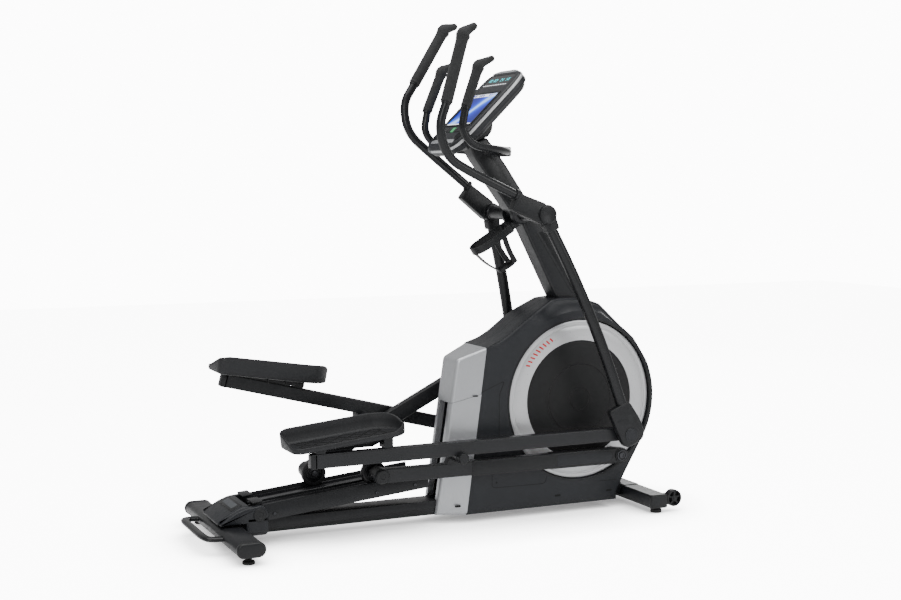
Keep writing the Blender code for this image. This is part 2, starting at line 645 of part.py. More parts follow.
def console():
    half = 0.5 * CONSOLE_SIZE[0]
    side = [on_face(-half, 0.0), on_face(half, 0.0), on_face(half - 0.006, CONSOLE_THICK),
            on_face(0.020, 0.060), on_face(-0.085, 0.060), on_face(-half, 0.030)]
    wide = 0.5 * CONSOLE_SIZE[1]
    body = place("console_body", prism(side, -wide, wide), "cover_black")
    soften(body, 0.008)
    neck = [on_face(0.030, 0.050), on_face(-0.080, 0.050), (-0.4125, 1.3100), (-0.3480, 1.3306),
            (-0.332, 1.352)]
    join(body, prism(neck, -0.045, 0.045))
    recess = [on_face(-0.083, -0.01), on_face(0.078, -0.01), on_face(0.078, 0.0034),
              on_face(-0.083, 0.0034)]
    cut(body, prism(recess, -0.1005, 0.1005))
    screen = [on_face(-0.082, 0.0004), on_face(0.077, 0.0004), on_face(0.077, 0.0030),
              on_face(-0.082, 0.0030)]
    place("console_screen", prism(screen, -0.100, 0.100), "screen")

    well = [on_face(-0.117, -0.01), on_face(-0.093, -0.01), on_face(-0.093, 0.0045),
            on_face(-0.117, 0.0045)]
    cut(body, prism(well, -0.0125, 0.0125))
    key = [on_face(-0.116, -0.0010), on_face(-0.094, -0.0010), on_face(-0.094, 0.0022),
           on_face(-0.116, 0.0022)]
    place("start_button", prism(key, -0.0115, 0.0115), "button_green", on_face(-0.105, 0.0))


def fixed_handlebar():
    radius = 0.0135
    right = [(-0.487, -0.160, 1.4215), (-0.502, -0.157, 1.352), (-0.455, -0.150, 1.296),
             (-0.350, -0.125, 1.286), (-0.268, -0.060, 1.281)]
    points = right + [(x, -y, z) for x, y, z in reversed(right)]
    tube("fixed_handlebar", rounded_path(points, 0.045, 3), radius, "frame_black", sides_around=10)
    for side, word in ((RIGHT, "right"), (LEFT, "left")):
        low = Vector((-0.487, side * 0.160, 1.4215 + GAP))
        corner = Vector((-0.433, side * 0.150, 1.569))
        tip = Vector((-0.372, side * 0.148, 1.588))
        start = low + (corner - low).normalized() * 0.005
        tube(f"fixed_grip_{word}", rounded_path([start, corner, tip], 0.012, 2), 0.018, "grip")


# ---------------------------------------------------------------- moving sides
def swing(side, word):
    """Leg, handle and grip that turn together about the upper pivot axle."""
    joints = linkage(side)
    angle = joints["swing_angle"]

    def at(forward, rise):
        return turned((forward, rise), angle, SWING_PIVOT)

    reach = SWING_LENGTH
    y = side * SWING_Y
    bow = [at(0.0, -0.020), at(0.022, -0.26), at(0.028, -0.52), at(0.016, -reach + 0.105)]
    path = rounded_path([(x, y, z) for x, z in bow], 0.12, 3)
    leg = tube(f"swing_leg_{word}", path, 0.0195, "frame_black", SWING_PIVOT)
    hub = sides(side, (0.190, 0.2335))
    join(leg, disc(SWING_PIVOT, 0.034, *hub))
    sleeve = [at(0.012, 0.033), at(-0.030, -0.022), at(-0.116, 0.068), at(-0.070, 0.112)]
    join(leg, prism(sleeve, *sides(side, (0.1925, 0.2330))))
    outer = [at(0.048, -reach - 0.038), at(-0.040, -reach - 0.038), at(-0.046, -reach + 0.115),
             at(0.040, -reach + 0.115), at(0.060, -reach + 0.02)]
    join(leg, prism(outer, *sides(side, (0.2035, 0.2330))))
    bridge = [at(-0.046, -reach + 0.078), at(0.044, -reach + 0.078), at(0.040, -reach + 0.115),
              at(-0.046, -reach + 0.115)]
    join(leg, prism(bridge, *sides(side, (0.2006, 0.2100))))
    join(leg, disc(joints["lower"], 0.0095, *sides(side, (0.2006, 0.2100)), segments=20))
    cut(leg, disc(SWING_PIVOT, 0.0104, -0.3, 0.3, segments=20))

    rest = math.radians(23.5)         # the leg angle that the handle's points are drawn at
    upper = [(-0.328, 0.214, 1.1330), (-0.470, 0.225, 1.194), (-0.592, 0.245, 1.252),
             (-0.632, 0.262, 1.352), (-0.607, 0.268, 1.4300)]
    points = [handle_point(p, side, angle - rest) for p in upper]
    entry = points[0] + (points[1] - points[0]).normalized() * 0.003
    path = rounded_path([entry] + points[1:], 0.055, 4)
    tube(f"handle_tube_{word}", path, 0.0155, "frame_black", SWING_PIVOT, 10)
    grip = [(-0.607, 0.268, 1.4300), (-0.546, 0.270, 1.6630), (-0.497, 0.272, 1.6820)]
    points = [handle_point(p, side, angle - rest) for p in grip]
    start = points[0] + (points[1] - points[0]).normalized() * 0.0040
    tube(f"grip_{word}", rounded_path([start] + points[1:], 0.014, 2), 0.0205, "grip", SWING_PIVOT)


def handle_point(point, side, turn):
    """A handle point drawn for the right leg's rest angle, turned to this leg's own."""
    x, z = turned((point[0] - SWING_PIVOT[0], point[2] - SWING_PIVOT[1]), turn, SWING_PIVOT)
    return Vector((x, side * point[1], z))


def pedal_side(side, word):
    """Pedal arm with its bush, pivot knob and foot pedal."""
    joints = linkage(side)
    lower, angle = joints["lower"], joints["pedal_angle"]

    def at(along, rise):
        return turned((along, rise), angle, lower)

    place(f"pedal_bush_{word}", ring(lower, 0.0135, 0.0098, *sides(side, (0.166, 0.199))),
          "bronze", lower)
    half = 0.5 * PEDAL_ARM_HEIGHT
    bar = [at(PEDAL_ARM_REAR, -half), at(0.0, -half)] + \
          [at(half * math.sin(a), -half * math.cos(a)) for a in
           (math.radians(30.0 * i) for i in range(1, 6))] + [at(0.0, half), at(PEDAL_ARM_REAR, half)]
    arm = place(f"pedal_arm_{word}", prism(bar, *sides(side, PEDAL_ARM_Y)), "frame_black", lower)
    join(arm, disc(joints["knob"], 0.020, *sides(side, PEDAL_ARM_Y)))
    for stop, start in ((PEDAL_ARM_REAR + 0.012, -PEDAL_ARM_TO_KNOB - 0.035),
                        (-PEDAL_ARM_TO_KNOB + 0.035, -0.040)):
        reach = half - TUBE_WALL
        channel = [at(stop, -reach), at(start, -reach), at(start, reach), at(stop, reach)]
        cut(arm, prism(channel, *sides(side, (PEDAL_ARM_Y[0] - 0.01, PEDAL_ARM_Y[1] - TUBE_WALL))))
    cut(arm, disc(lower, 0.0138, -0.3, 0.3, segments=20))
    cut(arm, disc(joints["knob"], 0.0083, -0.3, 0.3, segments=16))

    knob = place(f"arm_knob_{word}", disc(joints["knob"], 0.0080, *sides(side, (0.1553, 0.2100)),
                                          segments=16), "cover_black", joints["knob"])
    join(knob, disc(joints["knob"], 0.019, *sides(side, (0.2004, 0.2240)), segments=20))

    pedal(side, word, lower, at(PEDAL_CENTRE, PEDAL_RISE), angle + PEDAL_TILT, at)


def pedal(side, word, pivot, centre, angle, arm_point):
    """A tray with a high wall towards the middle of the machine and a low outer rim."""
    half = 0.5 * PEDAL_LENGTH
    inner, outer = PEDAL_Y
    plan = [(-half, inner + 0.020), (-half + 0.014, inner), (half - 0.075, inner),
            (half - 0.015, inner + 0.045), (half, inner + 0.085), (half - 0.012, outer - 0.028),
            (half - 0.055, outer), (-half + 0.030, outer), (-half, outer - 0.030)]

    def level(points, rise):
        spots = [(turned((u, rise), angle, centre), side * y) for u, y in points]
        return [(x, y, z) for (x, z), y in spots]

    tray = place(f"pedal_{word}", loft(level(plan, 0.0), level(plan, 0.064)), "tread", pivot)
    room = inset(plan, 0.007)
    cut(tray, loft(level(room, 0.010), level(room, 0.100)))
    slope = [(-half - 0.05, inner + 0.022), (half + 0.05, inner + 0.022),
             (half + 0.05, outer + 0.05), (-half - 0.05, outer + 0.05)]
    shallow = level(slope[:2], 0.058) + level(slope[2:], 0.014)
    cut(tray, loft(shallow, level(slope, 0.200)))
    for along in (PEDAL_CENTRE - 0.115, PEDAL_CENTRE + 0.120):
        foot_low = 0.5 * PEDAL_ARM_HEIGHT + GAP
        rise = PEDAL_RISE + (along - PEDAL_CENTRE) * math.tan(PEDAL_TILT) + 0.004
        post = [arm_point(along - 0.016, foot_low), arm_point(along + 0.016, foot_low),
                arm_point(along + 0.016, rise), arm_point(along - 0.016, rise)]
        join(tray, prism(post, *sides(side, (0.150, 0.196))))


def loft(low, high):
    """A closed solid between two rings with the same number of points."""
    bm = bmesh.new()
    rows = [[bm.verts.new(p) for p in points] for points in (low, high)]
    bm.faces.new(rows[0])
    bm.faces.new(rows[1])
    for i in range(len(low)):
        j = (i + 1) % len(low)
        bm.faces.new((rows[0][i], rows[0][j], rows[1][j], rows[1][i]))
    return bm


def roller_side(side, word):
    """Roller arm from the crank pin to the ramp, with its axle, bush and wheel."""
    joints = linkage(side)
    roller, pin, angle = joints["roller"], joints["pin"], joints["arm_angle"]
    half = 0.5 * ROLLER_ARM_HEIGHT
    bar = [(0.0, -half), (ROLLER_ARM_LENGTH, -half), (ROLLER_ARM_LENGTH, half), (0.0, half)]
    arm = place(f"roller_arm_{word}", prism([turned(p, angle, roller) for p in bar],
                                            *sides(side, ROLLER_ARM_Y)), "frame_black", roller)
    join(arm, disc(roller, 0.027, *sides(side, (0.1010, ROLLER_ARM_Y[1]))))
    join(arm, disc(pin, 0.029, *sides(side, (0.1225, 0.1580))))
    ear = [turned(p, angle, pin) for p in
           [(-KNOB_ALONG - 0.045, 0.0), (-KNOB_ALONG + 0.045, 0.0)]
           + arc((-KNOB_ALONG, KNOB_RISE), 0.018, 20.0, 160.0, 6)]
    join(arm, prism(ear, *sides(side, ROLLER_ARM_Y)))
    reach = half - TUBE_WALL
    ends = (0.035, ROLLER_ARM_LENGTH - 0.040)
    channel = [(ends[0], -reach), (ends[1], -reach), (ends[1], reach), (ends[0], reach)]
    cut(arm, prism([turned(p, angle, roller) for p in channel],
                   *sides(side, (ROLLER_ARM_Y[0] - 0.01, ROLLER_ARM_Y[1] - TUBE_WALL))))
    cut(arm, disc(roller, 0.0158, -0.3, 0.3, segments=20))

    bush = place(f"roller_bush_{word}", ring(roller, 0.0155, 0.0108, *sides(side, (0.0838, 0.154))),
                 "bronze", roller)
    join(bush, ring(roller, 0.0262, 0.0108, *sides(side, (0.0838, 0.1006))))
    axle = place(f"roller_axle_{word}", disc(roller, 0.0105, *sides(side, (0.0500, 0.1640)),
                                             segments=20), "steel", roller)
    join(axle, disc(roller, 0.024, *sides(side, (0.1556, 0.1645))))
    place(f"roller_wheel_{word}", ring(roller, WHEEL_RADIUS - GAP, 0.0108, *sides(side, WHEEL_Y),
                                       segments=32), "rubber", roller)


def main():
    for obj in list(bpy.data.objects):
        bpy.data.objects.remove(obj, do_unlink=True)
    base_frame()
    rear_cover()
    ramp()
    ramp_lift()
    crank_support()
    drive()
    shields()
    mast()
    bottle_holder()
    console()
    fixed_handlebar()
    for side, word in ((RIGHT, "right"), (LEFT, "left")):
        crank(side, word)
        swing(side, word)
        pedal_side(side, word)
        roller_side(side, word)


main()
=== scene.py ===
"""Looks for the elliptical trainer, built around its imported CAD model.

Outlines are side views, x forward of the crank axle and z above the floor; y is across the
machine, with the right side at -y. Every piece is made there and then moved to its place.
"""

import json
import math

import bmesh
import bpy
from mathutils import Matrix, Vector


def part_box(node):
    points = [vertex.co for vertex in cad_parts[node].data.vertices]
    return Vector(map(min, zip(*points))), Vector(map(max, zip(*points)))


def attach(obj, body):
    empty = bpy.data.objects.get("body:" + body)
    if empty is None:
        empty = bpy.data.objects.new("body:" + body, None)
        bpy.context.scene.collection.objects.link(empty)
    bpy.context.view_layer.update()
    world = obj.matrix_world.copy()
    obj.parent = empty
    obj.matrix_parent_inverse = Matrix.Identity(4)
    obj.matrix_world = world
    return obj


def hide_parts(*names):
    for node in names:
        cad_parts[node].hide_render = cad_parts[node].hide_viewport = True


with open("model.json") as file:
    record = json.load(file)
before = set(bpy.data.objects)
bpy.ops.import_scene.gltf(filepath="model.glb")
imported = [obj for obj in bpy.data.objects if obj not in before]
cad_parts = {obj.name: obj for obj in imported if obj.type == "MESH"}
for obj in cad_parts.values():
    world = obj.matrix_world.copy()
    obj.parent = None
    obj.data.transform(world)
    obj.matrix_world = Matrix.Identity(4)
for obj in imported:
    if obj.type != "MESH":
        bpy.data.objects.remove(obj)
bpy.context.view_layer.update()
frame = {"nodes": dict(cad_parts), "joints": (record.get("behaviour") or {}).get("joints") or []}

JOINTS = {joint["name"]: joint for joint in frame["joints"]}
AXLE_X = JOINTS["crank_spin"]["pos_m"][0]
SIDES = ((-1, "right"), (1, "left"))


def joint_at(name):
    """A joint's place in the side view."""
    x, _, z = JOINTS[name]["pos_m"]
    return (x - AXLE_X, z)


AXLE = joint_at("crank_spin")
SWING = joint_at("right_swing")
RAMP_HINGE = joint_at("ramp_incline")
TRANSPORT = joint_at("right_transport_wheel")
RAMP_TILT = math.radians(5.8)
FACE_TILT = math.radians(45.0)
FACE_CENTRE = (-0.385, 1.4285)     # centre of the console's face


# ---------------------------------------------------------------- materials
class Nodes:
    """Short calls for building one material's node tree."""

    def __init__(self, name, colour, roughness, metallic=0.0):
        self.material = bpy.data.materials.new(name)
        self.material.use_nodes = True
        self.tree = self.material.node_tree
        self.shader = self.tree.nodes["Principled BSDF"]
        self.colour = colour
        self.set("Base Color", (*colour, 1.0))
        self.set("Roughness", roughness)
        self.set("Metallic", metallic)
        if not metallic:
            self.set("Specular IOR Level", 0.24)
        self.roughness = roughness
        self.material.diffuse_color = (*colour, 1.0)
        self.place = self.add("ShaderNodeTexCoord").outputs["Object"]

    def add(self, kind, inputs=(), **values):
        """A new node; inputs holds its sockets' values, and values its own settings."""
        node = self.tree.nodes.new(kind)
        for key, value in values.items():
            setattr(node, key, value)
        for socket, value in dict(inputs).items():
            node.inputs[socket].default_value = value
        return node

    def set(self, socket, value):
        self.shader.inputs[socket].default_value = value

    def link(self, output, target):
        self.tree.links.new(output, target)

    def pattern(self, kind, inputs, stretch=(1.0, 1.0, 1.0)):
        """A texture fixed to the object, stretched along its axes."""
        mapping = self.add("ShaderNodeMapping", {"Scale": stretch})
        self.link(self.place, mapping.inputs["Vector"])
        node = self.add(kind, inputs)
        self.link(mapping.outputs["Vector"], node.inputs["Vector"])
        return node

    def noise(self, scale, detail=4.0, stretch=(1.0, 1.0, 1.0)):
        return self.pattern("ShaderNodeTexNoise", {"Scale": scale, "Detail": detail},
            stretch).outputs["Fac"]

    def cells(self, scale):
        return self.pattern("ShaderNodeTexVoronoi", {"Scale": scale}).outputs["Distance"]

    def spread(self, value, low, high, start=0.3, stop=0.7):
        """A value between start and stop, mapped to low and high."""
        sockets = {"From Min": start, "From Max": stop, "To Min": low, "To Max": high}
        node = self.add("ShaderNodeMapRange", sockets)
        self.link(value, node.inputs["Value"])
        return node.outputs["Result"]

    def vary_colour(self, value, amount):
        """Lightens and darkens the base colour by a share of itself."""
        ramp = self.add("ShaderNodeValToRGB")
        for stop, factor in zip(ramp.color_ramp.elements, (1.0 - amount, 1.0 + amount)):
            stop.color = (*(min(1.0, c * factor) for c in self.colour), 1.0)
        ramp.color_ramp.elements[0].position = 0.3
        ramp.color_ramp.elements[1].position = 0.7
        self.link(value, ramp.inputs["Fac"])
        self.link(ramp.outputs["Color"], self.shader.inputs["Base Color"])

    def vary_roughness(self, value, amount):
        low, high = self.roughness - amount, self.roughness + amount
        self.link(self.spread(value, low, high), self.shader.inputs["Roughness"])

    def vary(self, colour, rough, stretch=(1.0, 1.0, 1.0)):
        """Uneven colour and roughness, each given as (scale, detail, amount)."""
        self.vary_colour(self.noise(*colour[:2]), colour[2])
        self.vary_roughness(self.noise(*rough[:2], stretch), rough[2])

    def coat(self, weight, roughness):
        self.set("Coat Weight", weight)
        self.set("Coat Roughness", roughness)

    def bump(self, height, distance, strength=1.0, under=None):
        node = self.add("ShaderNodeBump", {"Distance": distance, "Strength": strength})
        self.link(height, node.inputs["Height"])
        if under:
            self.link(under, node.inputs["Normal"])
        self.link(node.outputs["Normal"], self.shader.inputs["Normal"])
        return node.outputs["Normal"]


def powder_coat(name, colour, roughness):
    """Satin powder coat: a faint orange peel under fine specks."""
    make = Nodes(name, colour, roughness)
    make.coat(0.05, 0.25)
    make.vary((9.0, 3.0, 0.12), (35.0, 5.0, 0.05))
    peel = make.bump(make.noise(420.0, 2.0), 0.00025, 0.5)
    make.bump(make.noise(1900.0, 2.0), 0.0001, 0.5, under=peel)
    return make.material


def moulded(name, colour, roughness, grain=0.00022):
    """Moulded plastic with a spark-eroded grain."""
    make = Nodes(name, colour, roughness)
    make.vary((6.0, 3.0, 0.1), (60.0, 4.0, 0.05))
    first = make.bump(make.cells(950.0), grain, 0.45)
    make.bump(make.noise(14.0, 2.0), 0.0008, 0.12, under=first)
    return make.material


def silver_paint():
    """Silver-painted plastic with a metallic fleck."""
    make = Nodes("silver_paint", (0.4, 0.41, 0.425), 0.34, 0.6)
    make.coat(0.25, 0.18)
    make.vary((1500.0, 2.0, 0.1), (900.0, 2.0, 0.06))
    make.bump(make.noise(40.0, 2.0), 0.0004, 0.15)
    return make.material


def ring_paint():
    """Brighter silver of the crank cover, with faint turning marks."""
    make = Nodes("ring_paint", (0.47, 0.475, 0.485), 0.32, 0.5)
    make.coat(0.2, 0.2)
    make.vary((1300.0, 2.0, 0.07), (300.0, 3.0, 0.05))
    make.bump(make.noise(30.0, 2.0), 0.0003, 0.15)
    return make.material


def foam(name):
    """Closed-cell grip foam: a pebbled skin with fine pores."""
    make = Nodes(name, (0.015, 0.0155, 0.016), 0.74)
    make.set("Sheen Weight", 0.08)
    make.set("Sheen Roughness", 0.5)
    make.vary((55.0, 5.0, 0.22), (90.0, 4.0, 0.07))
    pores = make.bump(make.cells(520.0), 0.0008, 0.7)
    make.bump(make.noise(160.0, 4.0), 0.0008, 0.35, under=pores)
    return make.material


def rubber(name, colour=(0.009, 0.009, 0.0095), roughness=0.7):
    """Rubber or urethane with a fine, uneven skin."""
    make = Nodes(name, colour, roughness)
    make.vary((28.0, 4.0, 0.2), (50.0, 4.0, 0.08))
    make.bump(make.noise(700.0, 3.0), 0.00025, 0.6)
    return make.material


def steel(name, colour, roughness, stretch=(1.0, 1.0, 1.0)):
    """Bare or plated steel with fine drawn marks."""
    make = Nodes(name, colour, roughness, 1.0)
    make.vary((22.0, 4.0, 0.1), (260.0, 4.0, 0.08), stretch)
    make.bump(make.noise(900.0, 3.0, stretch), 0.00012, 0.35)
    return make.material


def glass_black():
    """Gloss-black window with a trace of dust."""
    make = Nodes("glass_black", (0.01, 0.01, 0.012), 0.1)
    make.coat(0.15, 0.08)
    make.vary((12.0, 3.0, 0.1), (25.0, 5.0, 0.03))
    return make.material


def lit(name, colour, strength):
    """A lit mark with a slightly uneven backlight."""
    make = Nodes(name, colour, 0.35)
    make.vary_colour(make.noise(120.0, 2.0), 0.12)
    make.set("Emission Color", (*colour, 1.0))
    make.set("Emission Strength", strength)
    return make.material


def picture():
    """The display's picture: a blue sweep of light, with nothing written on it."""
    make = Nodes("screen_picture", (0.02, 0.05, 0.35), 0.3)
    wave = make.add("ShaderNodeTexWave", {"Scale": 2.6, "Distortion": 5.0, "Detail": 2.0},
        wave_type="BANDS", bands_direction="DIAGONAL")
    make.link(make.place, wave.inputs["Vector"])
    ramp = make.add("ShaderNodeValToRGB")
    stops = ramp.color_ramp.elements
    stops[0].position, stops[0].color = 0.0, (0.004, 0.01, 0.16, 1.0)
    stops[1].position, stops[1].color = 1.0, (0.3, 0.48, 0.9, 1.0)
    for position, colour in ((0.6, (0.006, 0.018, 0.36, 1.0)), (0.9, (0.02, 0.1, 0.6, 1.0))):
        stop = stops.new(position)
        stop.color = colour
    make.link(wave.outputs["Color"], ramp.inputs["Fac"])
    make.link(ramp.outputs["Color"], make.shader.inputs["Base Color"])
    make.link(ramp.outputs["Color"], make.shader.inputs["Emission Color"])
    make.set("Emission Strength", 0.75)
    return make.material


FRAME_BLACK = powder_coat("frame_coat", (0.01, 0.0105, 0.012), 0.34)
TUBE_BLACK = powder_coat("tube_coat", (0.008, 0.0085, 0.0095), 0.27)
COVER_BLACK = moulded("cover_plastic", (0.0125, 0.0135, 0.016), 0.38)
TRIM_BLACK = moulded("trim_plastic", (0.0085, 0.009, 0.01), 0.36)
DISC_BLACK = moulded("disc_plastic", (0.0055, 0.0055, 0.006), 0.5, 0.0003)
TREAD_BLACK = moulded("tread_plastic", (0.014, 0.0145, 0.016), 0.48, 0.0005)
TRAY_GREY = moulded("tray_plastic", (0.06, 0.064, 0.07), 0.45)
# Near-black painted shade, laid on as thin marks where grooves, slots and recesses are.
GROOVE_SHADE = moulded("groove_shadow", (0.004, 0.004, 0.004), 0.7)
SILVER = silver_paint()
RING_SILVER = ring_paint()
GRIP = foam("grip_foam")
RUBBER = rubber("foot_rubber")
WHEEL = rubber("wheel_urethane", (0.011, 0.011, 0.012), 0.42)
BELT = rubber("belt_rubber", (0.014, 0.014, 0.014), 0.6)
STEEL = steel("turned_steel", (0.55, 0.55, 0.56), 0.3, (1.0, 6.0, 1.0))
DARK_STEEL = steel("blackened_steel", (0.05, 0.051, 0.055), 0.34)
CAST = steel("cast_iron", (0.17, 0.17, 0.18), 0.48)
BRONZE = steel("bearing_bronze", (0.5, 0.33, 0.15), 0.36)
GLASS = glass_black()
PICTURE = picture()
CYAN = lit("digit_cyan", (0.05, 0.55, 0.6), 1.2)
WHITE = lit("screen_white", (0.8, 0.83, 0.86), 0.7)
RED = moulded("red_accent", (0.42, 0.012, 0.015), 0.4)
GREEN = moulded("green_key", (0.05, 0.3, 0.11), 0.42)


# ---------------------------------------------------------------- plane geometry (x, z)
def turned(point, angle, origin=(0.0, 0.0)):
    """The point turned about (0, 0) and then moved by origin."""
    c, s = math.cos(angle), math.sin(angle)
    return (origin[0] + c * point[0] - s * point[1], origin[1] + s * point[0] + c * point[1])


def arc(centre, radius, start, stop, steps):
    """Points on a circle, angles in degrees."""
    angles = [math.radians(start + (stop - start) * i / steps) for i in range(steps + 1)]
    return [(centre[0] + radius * math.cos(a), centre[1] + radius * math.sin(a)) for a in angles]


def inset(outline, distance):
    """The outline moved inwards by distance, with mitred corners."""
    area = sum(a[0] * b[1] - b[0] * a[1] for a, b in zip(outline, outline[1:] + outline[:1]))
    sign = 1.0 if area > 0 else -1.0
    result = []
    for i, point in enumerate(outline):
        before, after = Vector(outline[i - 1]), Vector(outline[(i + 1) % len(outline)])
        here = Vector(point)
        first, second = (here - before).normalized(), (after - here).normalized()
        normal_a = Vector((-first.y, first.x)) * sign
        normal_b = Vector((-second.y, second.x)) * sign
        middle = (normal_a + normal_b).normalized()
        result.append(tuple(here + middle * (distance / max(middle.dot(normal_a), 0.3))))
    return result


def bend(before, corner, after, size, steps):
    """A corner as a curve that leaves and joins its legs size away from it."""
    ends = []
    for other in (before, after):
        leg = other - corner
        ends.append(corner + leg.normalized() * min(size, 0.48 * leg.length))
    shares = [k / steps for k in range(steps + 1)]
    return [ends[0] * (1 - t) ** 2 + corner * 2 * t * (1 - t) + ends[1] * t ** 2 for t in shares]


def rounded(corners, radius, steps=5):
    """A closed outline with its corners rounded; radius may differ from corner to corner."""
    sizes = radius if isinstance(radius, list) else [radius] * len(corners)
    points = [Vector(corner) for corner in corners]
    result = []
    for i, (here, size) in enumerate(zip(points, sizes)):
        after = points[(i + 1) % len(points)]
        result += bend(points[i - 1], here, after, size, steps) if size > 0.0 else [here]
    return [tuple(point) for point in result]


def rect(u0, u1, v0, v1, radius=0.0, steps=4):
    """A rectangle, with its corners rounded if radius is given."""
    corners = [(u0, v0), (u1, v0), (u1, v1), (u0, v1)]
    return rounded(corners, radius, steps) if radius else corners


def along(line, share):
    """The point a share of the way along a line of two points."""
    (x0, z0), (x1, z1) = line
    return (x0 + (x1 - x0) * share, z0 + (z1 - z0) * share)


# ---------------------------------------------------------------- mesh building
def grid(rows, closed=True, caps=True):
    """Faces between rows of points; each row is one ring."""
    bm = bmesh.new()
    made = [[bm.verts.new(p) for p in row] for row in rows]
    count = len(made[0])
    for low, high in zip(made, made[1:]):
        for i in range(count if closed else count - 1):
            j = (i + 1) % count
            bm.faces.new((low[i], low[j], high[j], high[i]))
    if caps:
        bm.faces.new(made[0])
        bm.faces.new(made[-1])
    return bm


def hoop(rows):
    """A grid whose last row joins back to its first."""
    return grid(rows + [rows[0]], caps=False)


def prism(outline, y_low, y_high):
    """A side-view outline, closed between two y."""
    return grid([[(x, y, z) for x, z in outline] for y in (y_low, y_high)])


def pillow(outline, y_in, y_out, edge, steps=4):
    """A prism whose outer edge is rounded over by edge, as a moulded cover is."""
    direction = 1.0 if y_out > y_in else -1.0
    rows = [[(x, y_in, z) for x, z in outline]]
    for k in range(steps + 1):
        a = 0.5 * math.pi * k / steps
        y = y_out - direction * edge * (1.0 - math.sin(a))
        rows.append([(x, y, z) for x, z in inset(outline, edge * (1.0 - math.cos(a)))])
    return grid(rows)


def box(x, y, z):
    """A block from three (low, high) pairs."""
    return prism(rect(x[0], x[1], z[0], z[1]), *y)


def lathe(centre, profile, segments=48):
    """Turned about a line along y. The profile is (radius, y), from one end to the other."""
    bm = bmesh.new()
    rows = []
    for radius, y in profile:
        points = circle(radius, segments) if radius > 1e-6 else [(0.0, 0.0)]
        rows.append([bm.verts.new((centre[0] + u, y, centre[1] + v)) for u, v in points])
    for low, high in zip(rows, rows[1:]):
        for i in range(segments):
            j = (i + 1) % segments
            ring = [low[i % len(low)], low[j % len(low)], high[j % len(high)], high[i % len(high)]]
            face = list(dict.fromkeys(ring))
            if len(face) > 2:
                bm.faces.new(face)
    for row in (rows[0], rows[-1]):
        if len(row) > 1 and profile[0] != profile[-1]:
            bm.faces.new(row)
    return bm


def spun(side, centre, profile, segments=48):
    """A turned part on one side of the machine; the profile is (radius, distance from the middle)."""
    return lathe(centre, [(r, side * y) for r, y in profile], segments)


def spun_ring(side, centre, profile, segments=48):
    """The same with a hole through it: the profile joins back to its first point."""
    return spun(side, centre, profile + profile[:1], segments)


def spun_solid(side, centre, profile, segments=48):
    """The same without a hole: both ends of the profile run in to the axis."""
    whole = [(0.0, profile[0][1]), *profile, (0.0, profile[-1][1])]
    return spun(side, centre, whole, segments)


def upright(x, y, profile, segments=36):
    """Turned about an upright line; the profile is (radius, height)."""
    return grid([[(x + u, y + v, z) for u, v in circle(radius, segments)] for radius, z in profile])


def smooth_path(points, radius, steps=8):
    """The points with each inner corner rounded."""
    points = [Vector(p) for p in points]
    result = [points[0]]
    for before, here, after in zip(points, points[1:], points[2:]):
        result += bend(before, here, after, radius, steps)
    return result + [points[-1]]


def sweep(path, section, caps=True, up=Vector((0.0, 1.0, 0.0)), scale=None):
    """A section (side, up) swept along a path without twist; scale is a size at each point."""
    path = [Vector(p) for p in path]
    rows = []
    for i, point in enumerate(path):
        ahead = path[min(i + 1, len(path) - 1)] - path[max(i - 1, 0)]
        ahead.normalize()
        side = ahead.cross(up).normalized()
        top = side.cross(ahead)
        size = scale[i] if scale else 1.0
        rows.append([point + side * (u * size) + top * (v * size) for u, v in section])
    return grid(rows, caps=caps)


def circle(radius, steps=24, flat=1.0):
    """Points round (0, 0); flat squeezes the second coordinate."""
    return [(radius * math.cos(2 * math.pi * i / steps),
        flat * radius * math.sin(2 * math.pi * i / steps)) for i in range(steps)]


def merge(*parts):
    """Several closed bodies as one mesh."""
    mesh = bpy.data.meshes.new("part")
    whole = bmesh.new()
    for part in parts:
        bmesh.ops.recalc_face_normals(part, faces=part.faces)
        part.to_mesh(mesh)
        part.free()
        whole.from_mesh(mesh)
    bpy.data.meshes.remove(mesh)
    return whole


def new_object(name, bm):
    """The mesh as an object of the scene, moved from the crank's frame to its place."""
    bmesh.ops.recalc_face_normals(bm, faces=bm.faces)
    bmesh.ops.translate(bm, verts=bm.verts, vec=(AXLE_X, 0.0, 0.0))
    mesh = bpy.data.meshes.new(name)
    bm.to_mesh(mesh)
    bm.free()
    obj = bpy.data.objects.new(name, mesh)
    bpy.context.scene.collection.objects.link(obj)
    return obj


def piece(name, bm, material, body="frame", node=None, edge=0.0, steps=2, sharp=38.0):
    """Finishes one visible piece and makes it ride on its body."""
    bmesh.ops.remove_doubles(bm, verts=bm.verts, dist=1e-6)
    obj = new_object(name, bm)
    mesh = obj.data
    mesh.materials.append(material)
    mesh.shade_smooth()
    if edge:
        bevel = obj.modifiers.new("edge", "BEVEL")
        bevel.width = edge
        bevel.segments = steps
        bevel.limit_method = "ANGLE"
        bevel.angle_limit = math.radians(28.0)
        bevel.use_clamp_overlap = True
        normals = obj.modifiers.new("normals", "WEIGHTED_NORMAL")
        normals.keep_sharp = True
    else:
        mesh.set_sharp_from_angle(angle=math.radians(sharp))
    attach(obj, body)
    if node:
        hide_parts(node)
    return obj


